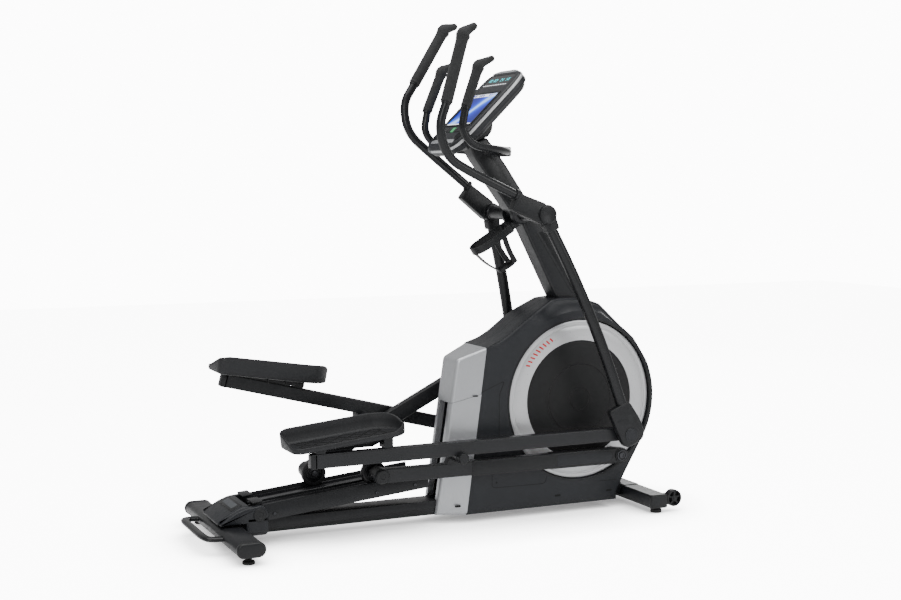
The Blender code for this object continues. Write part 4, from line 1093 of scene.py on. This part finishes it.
# ---------------------------------------------------------------- mast, crossbar and axle caps
def mast():
    """Leaning column, its panels, the crossbar with its caps and the skirt at the foot."""
    lower = [(0.025, 0.6), (-0.068, 0.752), (-0.209, 1.027), (-0.236, 1.056), (-0.185, 1.106),
        (-0.08, 1.027), (0.065, 0.752), (0.12, 0.6)]
    upper = [(-0.18, 1.0), (-0.262, 1.085), (-0.395, 1.262), (-0.415, 1.308), (-0.346, 1.33),
        (-0.272, 1.236), (-0.185, 1.11), (-0.11, 1.048), (-0.12, 1.0)]
    column = merge(slab(rounded(lower, 0.01), -0.0425, 0.0425, 0.01, 5),
        slab(rounded(upper, 0.01), -0.037, 0.037, 0.009, 5))
    piece("mast_column", column, FRAME_BLACK, node="mast", sharp=40.0)
    strip = [(-0.146, 1.0), (-0.006, 0.786), (0.022, 0.806), (-0.104, 1.006)]
    narrow = [(-0.276, 1.108), (-0.378, 1.248), (-0.352, 1.29), (-0.3, 1.228), (-0.212, 1.108)]
    for side, word in SIDES:
        panels = merge(pillow(rounded(strip, 0.008), side * 0.0415, side * 0.0432, 0.001, 2),
            pillow(rounded(narrow, 0.012), side * 0.036, side * 0.0378, 0.001, 2))
        piece(f"mast_panel_{word}", panels, TRIM_BLACK)
        # Groove round the panel, drawn as a near-black strip of painted shade.
        lines = line_strip(smooth_path_2d([(-0.155, 0.996), (-0.012, 0.778), (0.034, 0.806),
            (-0.1, 1.014)], 0.006), side * 0.0415, side * 0.0428, 0.0014)
        piece(f"mast_line_{word}", lines, GROOVE_SHADE)
        arm = spun_solid(side, SWING, [(0.04, 0.03), (0.04, 0.044), (0.037, 0.05), (0.0262, 0.056),
            (0.0262, 0.172), (0.029, 0.174), (0.029, 0.1864), (0.0282, 0.1876)], 56)
        piece(f"crossbar_{word}", arm, FRAME_BLACK)
        cap = spun(side, SWING, [(0.0, 0.2336), (0.0318, 0.2336), (0.032, 0.2352), (0.0318, 0.2388),
            (0.03, 0.2412), (0.0262, 0.2424), (0.024, 0.2418), (0.0232, 0.2414), (0.0, 0.242)], 64)
        piece(f"pivot_cap_{word}", cap, TRIM_BLACK)
    shaft = lathe(SWING, rect(0.0, 0.01, -0.234, 0.234), 32)
    piece("pivot_shaft", shaft, STEEL, node="pivot_axle")
    skirt = [(0.142, 0.64), (-0.012, 0.64), (-0.058, 0.742), (-0.046, 0.766), (0.052, 0.766),
        (0.07, 0.742)]
    piece("mast_skirt", slab(rounded(skirt, 0.012), -0.0465, 0.0465, 0.008, 4), COVER_BLACK)


def fixed_bars():
    """One bent bar clamped to the mast, with a short grip on each end."""
    right = [(-0.487, -0.16, 1.4215), (-0.502, -0.157, 1.352), (-0.455, -0.15, 1.296),
        (-0.35, -0.125, 1.286), (-0.268, -0.06, 1.281)]
    points = right + [(x, -y, z) for x, y, z in reversed(right)]
    bar = sweep(smooth_path(points, 0.045, 8), circle(0.0135, 28),
        up=Vector((0.15, 0.25, 1.0)).normalized())
    piece("fixed_bar", bar, TUBE_BLACK, node="fixed_handlebar", sharp=60.0)
    clamp = box((-0.312, -0.25), (-0.034, 0.034), (1.264, 1.298))
    piece("bar_clamp", clamp, TRIM_BLACK, edge=0.005, steps=3)
    for side, word in SIDES:
        low = Vector((-0.487, side * 0.16, 1.4265))
        corner = Vector((-0.433, side * 0.15, 1.569))
        tip = Vector((-0.377, side * 0.148, 1.594))
        piece(f"short_grip_{word}", grip_mesh([low, corner, tip], 0.018), GRIP,
            node=f"fixed_grip_{word}", sharp=60.0)
        run = (corner - low).normalized()
        ring = sweep([low - run * 0.009, low + run * 0.001], circle(0.0162, 28))
        piece(f"short_collar_{word}", ring, TRIM_BLACK, edge=0.001, steps=2)


def bottle_holder():
    """Band loop on the mast with a saucer hung under it by three straps."""
    angle = math.radians(32.0)
    hang = (-0.2265, 1.0215)

    def spot(back, y, rise):
        x, z = turned((-back, rise), angle, hang)
        return (x, y, z)

    def plan(grow):
        near, far, half = 0.024 - grow, 0.178 + grow, 0.041 + grow
        bow = [(far - half + half * math.cos(a), half * math.sin(a))
            for a in (math.radians(-90.0 + 7.5 * i) for i in range(25))]
        return [(near, half), (near, -half)] + bow

    inner = rounded(plan(0.0), [0.012] * 2 + [0.0] * 25, 5)
    outer = rounded(plan(0.005), [0.015] * 2 + [0.0] * 25, 5)
    rows = [[spot(b, y, r) for b, y in line] for line, r in ((inner, -0.0052), (inner, 0.0192),
        (inner, 0.02), (outer, 0.02), (outer, 0.0192), (outer, -0.0052), (outer, -0.006),
        (inner, -0.006))]
    loop = hoop(rows)
    bracket = slab([turned((-b, r), angle, hang) for b, r in rect(-0.012, 0.026, -0.004, 0.022)], -0.036,
        0.036, 0.003)
    straps = []
    for start, stop, width in (((0.128, 0.0), (0.1795, 0.0), 0.024),
            ((0.072, 0.027), (0.066, 0.043), 0.02), ((0.072, -0.027), (0.066, -0.043), 0.02)):
        path = [spot(start[0], start[1], -0.108), spot(0.5 * (start[0] + stop[0]) + 0.006,
            0.5 * (start[1] + stop[1]), -0.058), spot(stop[0], stop[1], 0.009)]
        flat = rect(-0.002, 0.002, -0.5 * width, 0.5 * width)
        if start[1]:
            flat = [(v, u) for u, v in reversed(flat)]
        straps.append(sweep(smooth_path(path, 0.03, 6), flat))
    dish = [[spot(0.095 + u, v, r) for u, v in circle(0.04 * size, 40, 0.75)]
        for size, r in ((0.7, -0.1118), (0.94, -0.1112), (1.0, -0.109), (1.0, -0.1022), (0.96, -0.1014),
        (0.92, -0.103), (0.88, -0.108), (0.2, -0.1085))]
    whole = merge(loop, bracket, grid(dish), *straps)
    piece("bottle_cage", whole, TRIM_BLACK, node="bottle_holder", edge=0.0006, steps=1)


# ---------------------------------------------------------------- console
def on_face(up, rise):
    """A point up the console's face and a rise above it."""
    return turned((up, rise), FACE_TILT, FACE_CENTRE)


def face_spot(across, up, rise):
    """A point on the face, as (x, y, z)."""
    x, z = on_face(up, rise)
    return (x, across, z)


def face_rows(outline, levels):
    """The outline laid on the face once for each (inset, rise)."""
    return [[face_spot(u, v, rise) for u, v in (inset(outline, d) if d else outline)]
        for d, rise in levels]


def face_plate(outline, low, high, edge=0.0, steps=3):
    """A plate on the face: outline as (across, up), its upper rim rounded over."""
    levels = [(0.0, low)]
    if edge:
        for k in range(steps + 1):
            a = 0.5 * math.pi * k / steps
            levels.append((edge * (1.0 - math.cos(a)), high - edge * (1.0 - math.sin(a))))
    else:
        levels.append((0.0, high))
    return grid(face_rows(outline, levels))


def face_rings(centre, profile, segments=40):
    """Rings round a point on the face, one for each (radius, rise)."""
    return [[face_spot(centre[0] + u, centre[1] + v, rise) for u, v in circle(radius, segments)]
        for radius, rise in profile]


def face_outline():
    """The console seen square on: straight sides, an arched top and a narrower foot."""
    half = [(0.07, -0.199), (0.122, -0.172), (0.133, -0.12), (0.133, 0.13), (0.118, 0.18), (0.06, 0.196)]
    corners = [(-u, v) for u, v in reversed(half)]
    corners = corners[-1:] + half + corners[:-1]
    return rounded(corners, [0.03] * 6 + [0.06] * 2 + [0.03] * 4, 4)


# Strokes of one digit on the readout, as (left, right, foot, top), and the strokes that are lit.
STROKES = ((0.0, 0.005, 0.15, 0.1513), (0.0, 0.005, 0.1435, 0.1448), (0.0, 0.005, 0.137, 0.1383),
    (-0.0004, 0.0009, 0.1448, 0.15), (-0.0004, 0.0009, 0.1383, 0.1435), (0.0041, 0.0054, 0.1448, 0.15),
    (0.0041, 0.0054, 0.1383, 0.1435))
DIGITS = ((0, 1, 2, 5, 6), (0, 1, 3, 4, 6), (1, 2, 5), (0, 2, 3, 5, 6))


def console():
    """Shell on a tilted face, screen, readout, keys, grilles and tray."""
    outline = face_outline()
    body = face_rows(outline, [(0.012, -0.04), (0.004, -0.038), (0.0008, -0.034), (0.0, -0.029),
        (0.0, -0.0085), (0.0016, -0.004), (0.005, -0.0012), (0.01, 0.0), (0.018, 0.0)])
    shell = piece("console_shell", grid(body), COVER_BLACK, node="console_body",
        sharp=50.0)
    cut(shell, face_plate(rect(-0.0128, 0.0128, -0.1175, -0.0925, 0.003), -0.005, 0.01),
        face_plate(rect(-0.104, 0.104, -0.0835, 0.0785, 0.004), -0.003, 0.01),
        face_plate(rect(-0.096, 0.096, 0.11, 0.17, 0.01), -0.0022, 0.01))
    back = [(inset(outline, d), rise) for d, rise in ((0.01, -0.038), (0.016, -0.048), (0.026, -0.055),
        (0.044, -0.059), (0.052, -0.0596))]
    hump = grid([[face_spot(u, max(v, -0.15), rise) for u, v in line] for line, rise in back])
    piece("console_back", hump, TRIM_BLACK, sharp=50.0)
    neck = rounded([on_face(0.046, -0.046), on_face(-0.086, -0.046), (-0.4145, 1.309), (-0.344, 1.331),
        (-0.328, 1.352)], [0.01, 0.01, 0.004, 0.006, 0.01])
    piece("console_neck", slab(neck, -0.045, 0.045, 0.01, 5), TRIM_BLACK)

    band = face_rows(outline, [(0.003, -0.017), (-0.0006, -0.0168), (-0.0016, -0.0155), (-0.0018, -0.012),
        (-0.0016, -0.0088), (-0.0006, -0.0074), (0.003, -0.0072)])
    piece("console_trim", hoop(band), RING_SILVER)

    lip = merge(face_plate(rect(-0.088, 0.088, -0.17, -0.1535, 0.006), -0.0015, 0.0018, 0.0012),
        face_plate(rounded([(-0.1, 0.1795), (0.1, 0.1795), (0.088, 0.1865), (0.052, 0.1925),
        (-0.052, 0.1925), (-0.088, 0.1865)], 0.004), -0.002, 0.0014, 0.0008))
    piece("console_strips", lip, SILVER)

    bezel = face_rows(rect(-0.1065, 0.1065, -0.086, 0.081, 0.007),
        [(0.0, -0.001), (0.0, 0.0018), (0.001, 0.0028)])
    bezel += face_rows(rect(-0.0985, 0.0985, -0.0795, 0.075, 0.004),
        [(-0.0012, 0.0026), (0.0, 0.001), (0.0, -0.0024)])
    piece("screen_bezel", hoop(bezel), TRIM_BLACK, sharp=30.0)
    window = face_plate(rect(-0.1, 0.1, -0.082, 0.077), -0.0029, -0.0012)
    piece("screen_window", window, PICTURE, node="console_screen")
    bars = merge(face_plate(rect(-0.0975, 0.0975, 0.06, 0.074), -0.0014, -0.0009),
        face_plate(rect(-0.0975, 0.0975, -0.0785, -0.072), -0.0014, -0.0009))
    piece("screen_bars", bars, WHITE)
    tiles = merge(*(face_plate(rect(-0.0905 + 0.0155 * i, -0.0795 + 0.0155 * i, 0.0625, 0.0715, 0.002),
        -0.0012, -0.0006) for i in range(12) if i not in (4, 5, 9)))
    piece("screen_tiles", tiles, PICTURE)

    readout = face_plate(rect(-0.0955, 0.0955, 0.1105, 0.1695, 0.01), -0.0022, -0.0008)
    piece("readout_window", readout, GLASS)
    segments = []
    for group, centre in enumerate((-0.066, -0.022, 0.022, 0.066)):
        for k in range(3 if group != 2 else 4):
            left = centre - 0.014 + 0.0085 * k
            for i in DIGITS[(group + k) % 4]:
                low, high, foot, top = STROKES[i]
                segments.append(face_plate(rect(left + low, left + high, foot, top), -0.001, -0.0004))
    piece("readout_marks", merge(*segments), CYAN)
    scale = merge(*(face_plate(rect(-0.086 + 0.013 * i, -0.0775 + 0.013 * i, 0.118, 0.1215, 0.001),
        -0.001, -0.0005) for i in range(14)))
    piece("readout_scale", scale, WHITE)

    keys = []
    for i in range(8):
        u = -0.1 + 0.0252 * i + (0.0118 if i > 3 else -0.0118)
        keys.append(face_plate(rect(u + 0.002, u + 0.021, -0.117, -0.0955, 0.005), -0.002, 0.0016, 0.001))
    for i in range(5):
        v = -0.06 + 0.026 * i
        for u in (-0.121, 0.112):
            keys.append(face_plate(rect(u, u + 0.009, v, v + 0.016, 0.003), -0.002, 0.0014, 0.0009))
    piece("key_row", merge(*keys), TRIM_BLACK)
    start = face_plate(rect(-0.0115, 0.0115, -0.116, -0.094, 0.004), -0.0022, 0.0012, 0.0009)
    piece("start_key", start, GREEN, "start_button", "start_button")

    for side, word in SIDES:
        centre = (side * 0.092, -0.138)
        slats = []
        for k in range(7):
            rise = -0.0135 + 0.0045 * k
            half = math.sqrt(max(0.0195 ** 2 - rise ** 2, 0.0)) - 0.0008
            slats.append(face_plate(rect(centre[0] - half, centre[0] + half, centre[1] + rise - 0.0011,
                centre[1] + rise + 0.0011), -0.001, 0.0016, 0.0006, 2))
        ring = face_rings(centre, [(0.0225, -0.001), (0.0225, 0.0014), (0.0218, 0.0022), (0.0202, 0.0022),
            (0.0196, 0.0014), (0.0196, -0.001)])
        # The grille's floor between the slats is near-black painted shade.
        floor = face_rings(centre, [(0.0196, -0.0012), (0.0196, 0.0003)])
        piece(f"grille_{word}", merge(hoop(ring), *slats), TRIM_BLACK)
        piece(f"grille_floor_{word}", grid(floor), GROOVE_SHADE)

    tray = []
    for width, up, rise in ((0.06, -0.196, -0.03), (0.072, -0.198, -0.022), (0.08, -0.199, -0.012),
            (0.08, -0.1985, -0.006), (0.07, -0.19, -0.0045)):
        tray.append([face_spot(u, v, r) for u, v, r in ((-width, up, rise),
            (-0.5 * width, up - 0.001, rise), (0.0, up - 0.001, rise), (0.5 * width, up - 0.001, rise),
            (width, up, rise), (0.6 * width, up + 0.045, rise), (-0.6 * width, up + 0.045, rise))])
    piece("console_tray", grid(tray), TRAY_GREY, sharp=50.0)


# ---------------------------------------------------------------- ramp and rear cover
TRACK_POINT = (-0.789, 0.1605)     # on the tracks' floor; distances along the ramp start here


def along_track(distance, rise):
    """A point along the ramp and a rise above its floor, in the side view."""
    return turned((distance, rise), RAMP_TILT, TRACK_POINT)


def ramp():
    """Channel with two tracks, their end stops, the tongue under it and the red tab."""
    cosine = math.cos(RAMP_TILT)
    start, stop = (-1.205 - TRACK_POINT[0]) / cosine, (-0.6 - TRACK_POINT[0]) / cosine

    half = 0.1
    profile = [(-half, -0.04), (-half, 0.011), (-half + 0.0015, 0.0134), (-half + 0.004, 0.014),
        (-half + 0.0066, 0.0134), (-half + 0.008, 0.011), (-half + 0.0085, 0.0012), (-half + 0.01, 0.0),
        (-0.0135, 0.0), (-0.012, 0.0015), (-0.0115, 0.0085), (-0.0095, 0.01)]
    profile += [(-y, r) for y, r in reversed(profile)]
    profile += [(half - 0.006, -0.04), (half - 0.006, -0.006), (-half + 0.006, -0.006),
        (-half + 0.006, -0.04)]
    bed = []
    for distance in (start, start + 0.002, stop - 0.002, stop):
        spots = [(along_track(distance, r), y) for y, r in profile]
        bed.append([(x, y, z) for (x, z), y in spots])
    tongue = slab([along_track(*p) for p in ((stop - 0.03, -0.004), (stop - 0.03, -0.0338),
        (0.375, -0.0338), (0.375, -0.004))], -0.03, 0.03, 0.002, 2)
    piece("ramp_bed", merge(grid(bed), tongue), FRAME_BLACK, "ramp", "ramp", sharp=35.0)
    tag = slab(rounded([along_track(*p) for p in ((stop - 0.05, -0.001), (stop - 0.012, -0.001),
        (stop - 0.014, 0.01), (stop - 0.046, 0.006))], 0.003, 3), -0.0085, 0.0085, 0.002, 2)
    piece("red_tab", tag, RED, "ramp")
    for side, word in SIDES:
        y = (side * 0.056, side * 0.084)
        strip = [along_track(*p) for p in rect(start + 0.03, stop - 0.004, -0.001, 0.0004)]
        piece(f"track_{word}", prism(strip, *y), GLASS, "ramp")
        block = rounded([along_track(*p) for p in ((start + 0.001, -0.002), (start + 0.03, -0.002),
            (start + 0.026, 0.0225), (start + 0.001, 0.0225))], [0.0, 0.0, 0.006, 0.003])
        plate = rounded([along_track(*p) for p in rect(start - 0.006, start + 0.029, 0.02, 0.025)],
            0.0018, 3)
        stops = merge(slab(block, side * 0.026, side * 0.086, 0.004, 3),
            slab(plate, side * 0.022, side * 0.09, 0.002, 3))
        piece(f"end_stop_{word}", stops, TRIM_BLACK, "ramp")
        for k, distance in enumerate((start + 0.06, 0.0, stop - 0.05)):
            screw(f"ramp_screw_{word}_{k}", along_track(distance, -0.022), side * 0.1, side, "ramp",
                0.0055)


def rear_cover():
    """Domed cover over the rear foot, with a label band and side plates round the hinge."""
    top = 0.0786
    crown = [(-1.329, top), (-1.33, 0.086), (-1.31, 0.101), (-1.28, 0.118), (-1.248, 0.1325),
        (-1.2245, 0.1335), (-1.2245, top)]
    body = slab(rounded(crown, [0.002, 0.008, 0.03, 0.03, 0.01, 0.004, 0.0], 5), -0.098, 0.098, 0.014, 6)
    plates = []
    for side, _ in SIDES:
        upper = [(-1.324, top), (-1.324, 0.086), (-1.28, 0.115), (-1.24, 0.129)]
        upper += arc(RAMP_HINGE, 0.029, 110.0, 0.0, 8) + [(-1.166, top)]
        upper = rounded(upper, [0.002, 0.008, 0.03, 0.01] + [0.0] * 10, 4)
        lower = rounded(rect(-1.24, -1.166, 0.1, 0.038), [0.0, 0.0, 0.016, 0.006], 5)
        plates += [pillow(line, side * 0.086, side * 0.112, 0.007, 5) for line in (upper, lower)]
    piece("rear_housing", merge(body, *plates), COVER_BLACK, node="rear_cover")
    slope = math.atan2(0.0145, 0.032)
    band = rounded([turned(p, slope, (-1.264, 0.1262)) for p in rect(-0.019, 0.02, -0.004, 0.0012)],
        0.001, 3)
    piece("label_band", slab(band, -0.076, 0.076, 0.003, 3), TRIM_BLACK)
    label = [turned(p, slope, (-1.264, 0.1262)) for p in rect(-0.011, 0.012, 0.0005, 0.0016)]
    piece("blank_label", slab(label, -0.056, 0.056, 0.0005, 1), TRAY_GREY)
    for side, word in SIDES:
        disc = spun_solid(side, RAMP_HINGE, [(0.022, 0.111), (0.022, 0.1132), (0.0206, 0.1146),
            (0.011, 0.115), (0.01, 0.114)], 48)
        piece(f"hinge_cap_{word}", disc, TRIM_BLACK)


# ---------------------------------------------------------------- base
def base():
    """Beam, front foot with pads and wheels, rear foot with screw feet, and the lift bar."""
    piece("beam", slab(rect(-1.2406, 0.1997, 0.0282, 0.0778, 0.004, 3), -0.045, 0.045, 0.004, 3),
        FRAME_BLACK, node="main_beam")
    front = slab(rounded(rect(0.2003, 0.2667, 0.0182, 0.0658), 0.006), -0.244, 0.244, 0.002, 2)
    parts = [front]
    for side, word in SIDES:
        cap = slab(rounded(rect(0.1992, 0.2678, 0.0172, 0.0668), 0.009), side * 0.235, side * 0.25, 0.005,
            4)
        piece(f"front_end_cap_{word}", cap, TRIM_BLACK)
        pad = upright(0.2335, side * 0.225, [(0.017, 0.0005), (0.0195, 0.001), (0.02, 0.003),
            (0.0195, 0.012), (0.014, 0.015), (0.012, 0.0185)])
        piece(f"front_pad_{word}", pad, RUBBER)
        ear = rounded([(0.25, 0.0345), (0.25, 0.062), (0.29, 0.062), (0.3102, 0.056), (0.3102, 0.04),
            (0.298, 0.0345)], [0.0, 0.004, 0.008, 0.008, 0.008, 0.004])
        parts.append(slab(ear, side * 0.2052, side * 0.2183, 0.002, 2))
        parts.append(spun_solid(side, TRANSPORT, [(0.006, 0.217), (0.006, 0.2466), (0.0052, 0.2475)], 24))
    deck = rounded(rect(0.204, 0.263, 0.0655, 0.068), 0.001, 2)
    parts.append(slab(deck, -0.06, 0.06, 0.001, 2))
    piece("front_foot_bar", merge(*parts), FRAME_BLACK, node="front_stabilizer",
        edge=0.0006, steps=1)
    for side, word in SIDES:
        wheel = spun_ring(side, TRANSPORT, [(0.024, 0.2205), (0.028, 0.2197), (0.0296, 0.221),
            (0.0299, 0.226), (0.0299, 0.241), (0.0296, 0.245), (0.028, 0.2464), (0.024, 0.2456),
            (0.0235, 0.24), (0.0235, 0.226)], 56)
        hub = spun_ring(side, TRANSPORT, [(0.0066, 0.22), (0.0105, 0.22), (0.011, 0.2206),
            (0.011, 0.2458), (0.0105, 0.2464), (0.0066, 0.2464)], 32)
        spokes = []
        for k in range(5):
            angle = math.radians(72.0 * k + 18.0)
            quad = [turned(p, angle, TRANSPORT) for p in ((0.009, -0.003), (0.0245, -0.0022),
                (0.0245, 0.0022), (0.009, 0.003))]
            spokes.append(prism(quad, side * 0.2225, side * 0.244))
        web = spun_ring(side, TRANSPORT, [(0.009, 0.232), (0.0245, 0.232), (0.0245, 0.2345),
            (0.009, 0.2345)], 40)
        piece(f"tread_ring_{word}", wheel, WHEEL, f"transport_wheel_{word}",
            f"transport_wheel_{word}")
        piece(f"spoked_hub_{word}", merge(hub, web, *spokes), TRIM_BLACK,
            f"transport_wheel_{word}")

    rear = oval_outline(-1.287, 0.049, 0.046, 0.0228)
    piece("rear_foot_bar", slab(rear, -0.318, 0.318, 0.002, 2), FRAME_BLACK,
        node="rear_stabilizer")
    for side, word in SIDES:
        cap = slab(oval_outline(-1.287, 0.049, 0.0472, 0.024), side * 0.306, side * 0.3298, 0.008, 5)
        piece(f"rear_end_cap_{word}", cap, TRIM_BLACK)
        low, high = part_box(f"levelling_foot_{word}")
        x, y = 0.5 * (low[0] + high[0]) - AXLE_X, 0.5 * (low[1] + high[1])
        foot = upright(x, y, [(0.0165, 0.0), (0.0192, 0.0006), (0.02, 0.0024), (0.02, 0.008),
            (0.018, 0.0104), (0.012, 0.0118), (0.0105, 0.0122), (0.0105, 0.0165), (0.006, 0.0167),
            (0.006, 0.0256)])
        piece(f"screw_foot_{word}", foot, RUBBER, f"levelling_foot_{word}",
            f"levelling_foot_{word}")

    handle = smooth_path([(-1.3325, 0.15, 0.05), (-1.375, 0.15, 0.052), (-1.385, 0.11, 0.054),
        (-1.385, -0.11, 0.054), (-1.375, -0.15, 0.052), (-1.3325, -0.15, 0.05)], 0.03, 8)
    piece("lift_bar", sweep(handle, circle(0.0142, 28, 0.62), up=Vector((0.0, 0.0, 1.0))), TUBE_BLACK,
        node="lift_handle", sharp=60.0)


def oval_outline(x, z, half_width, half_height, steps=14):
    """A tube section with round ends, in the side view."""
    reach_x = half_width - half_height
    return (arc((x + reach_x, z), half_height, -90.0, 90.0, steps)
        + arc((x - reach_x, z), half_height, 90.0, 270.0, steps))


# ---------------------------------------------------------------- what stays as it is in the CAD
def finish_inner_parts():
    """Materials for the working parts inside, which keep their CAD shapes."""
    looks = {"crank_support": FRAME_BLACK, "crank_axle": STEEL, "drive_pulley": TRIM_BLACK,
        "crank_right": DARK_STEEL, "crank_left": DARK_STEEL, "flywheel": CAST, "drive_belt": BELT,
        "brake_magnets": CAST, "incline_actuator": TRIM_BLACK, "incline_rod": STEEL,
        "pedal_bush_right": BRONZE, "pedal_bush_left": BRONZE, "roller_bush_right": TRIM_BLACK,
        "roller_bush_left": TRIM_BLACK}
    for name, look in looks.items():
        obj = frame["nodes"][name]
        obj.data.materials.clear()
        obj.data.materials.append(look)


# ---------------------------------------------------------------- stage, light and camera
CAMERA_PLACE = (-1.993, -4.4968, 1.1819)
CAMERA_HEADING = (0.41522, 0.90752, -0.06334)
LENS = 57.07


def stage():
    """White floor and surroundings, with contact shadows painted into the floor's glow; four soft lights
    and the main view.
    """
    floor = bpy.data.meshes.new("floor")
    floor.from_pydata([(-9.0, -9.0, -0.0004), (9.0, -9.0, -0.0004), (9.0, 9.0, -0.0004),
        (-9.0, 9.0, -0.0004)], [], [(0, 1, 2, 3)])
    obj = bpy.data.objects.new("floor", floor)
    bpy.context.scene.collection.objects.link(obj)
    make = Nodes("floor_white", (0.94, 0.94, 0.945), 0.6)
    make.vary_roughness(make.noise(3.0, 2.0), 0.04)
    make.vary_colour(make.noise(1.2, 2.0), 0.012)
    make.set("Emission Color", (1.0, 1.0, 1.0, 1.0))
    # Painted contact shadow: ambient occlusion, raised to a power, dims the glow the camera sees on the
    # floor near the machine.
    near = make.add("ShaderNodeAmbientOcclusion", {"Distance": 0.35}, samples=8)
    seen = make.add("ShaderNodeLightPath")
    share = make.add("ShaderNodeMath", operation="MULTIPLY")
    contact_shadow = make.add("ShaderNodeMath", operation="POWER")
    contact_shadow.inputs[1].default_value = 2.2
    make.link(near.outputs["AO"], contact_shadow.inputs[0])
    make.link(contact_shadow.outputs["Value"], share.inputs[0])
    make.link(seen.outputs["Is Camera Ray"], share.inputs[1])
    glow = make.spread(share.outputs["Value"], 0.25, 10.0, 0.0, 1.0)
    make.link(glow, make.shader.inputs["Emission Strength"])
    floor.materials.append(make.material)

    world = bpy.data.worlds.new("studio")
    world.use_nodes = True
    nodes = world.node_tree.nodes
    nodes["Background"].inputs["Color"].default_value = (1.0, 1.0, 1.0, 1.0)
    seen = nodes.new("ShaderNodeLightPath")
    level = nodes.new("ShaderNodeMapRange")
    level.inputs["To Min"].default_value = 0.5
    level.inputs["To Max"].default_value = 12.0
    world.node_tree.links.new(seen.outputs["Is Camera Ray"], level.inputs["Value"])
    world.node_tree.links.new(level.outputs["Result"], nodes["Background"].inputs["Strength"])
    bpy.context.scene.world = world
    for name, place, size, power, aim in (("top", (-0.3, -0.4, 4.2), (4.5, 3.5), 210.0, (0.0, 0.0, 0.5)),
            ("left_front", (-3.6, -3.4, 2.6), (1.6, 2.6), 85.0, (0.0, 0.0, 0.8)),
            ("right_front", (2.8, -3.6, 2.2), (1.4, 2.6), 60.0, (0.2, 0.0, 0.6)),
            ("behind", (3.6, 3.4, 2.4), (2.5, 2.0), 70.0, (0.0, 0.0, 0.8))):
        light = bpy.data.lights.new(name, "AREA")
        light.shape = "RECTANGLE"
        light.size, light.size_y = size
        light.energy = power
        lamp = bpy.data.objects.new(name, light)
        lamp.location = place
        lamp.rotation_euler = (Vector(aim) - Vector(place)).to_track_quat("-Z", "Y").to_euler()
        bpy.context.scene.collection.objects.link(lamp)

    camera = bpy.data.cameras.new("camera")
    camera.lens = LENS
    camera.sensor_width = 36.0
    camera.shift_y = -0.0325
    view = bpy.data.objects.new("camera", camera)
    view.location = CAMERA_PLACE
    view.rotation_euler = Vector(CAMERA_HEADING).to_track_quat("-Z", "Y").to_euler()
    bpy.context.scene.collection.objects.link(view)
    bpy.context.scene.camera = view


for side, word in SIDES:
    side_cover(side, word)
    housing_details(side, word)
    crank_cover(side, word)
    roller_arm(side, word)
    roller_end(side, word)
    pedal_arm(side, word)
    pedal(side, word)
    swing(side, word)
silver_rear()
mast()
fixed_bars()
bottle_holder()
console()
ramp()
rear_cover()
base()
finish_inner_parts()
stage()
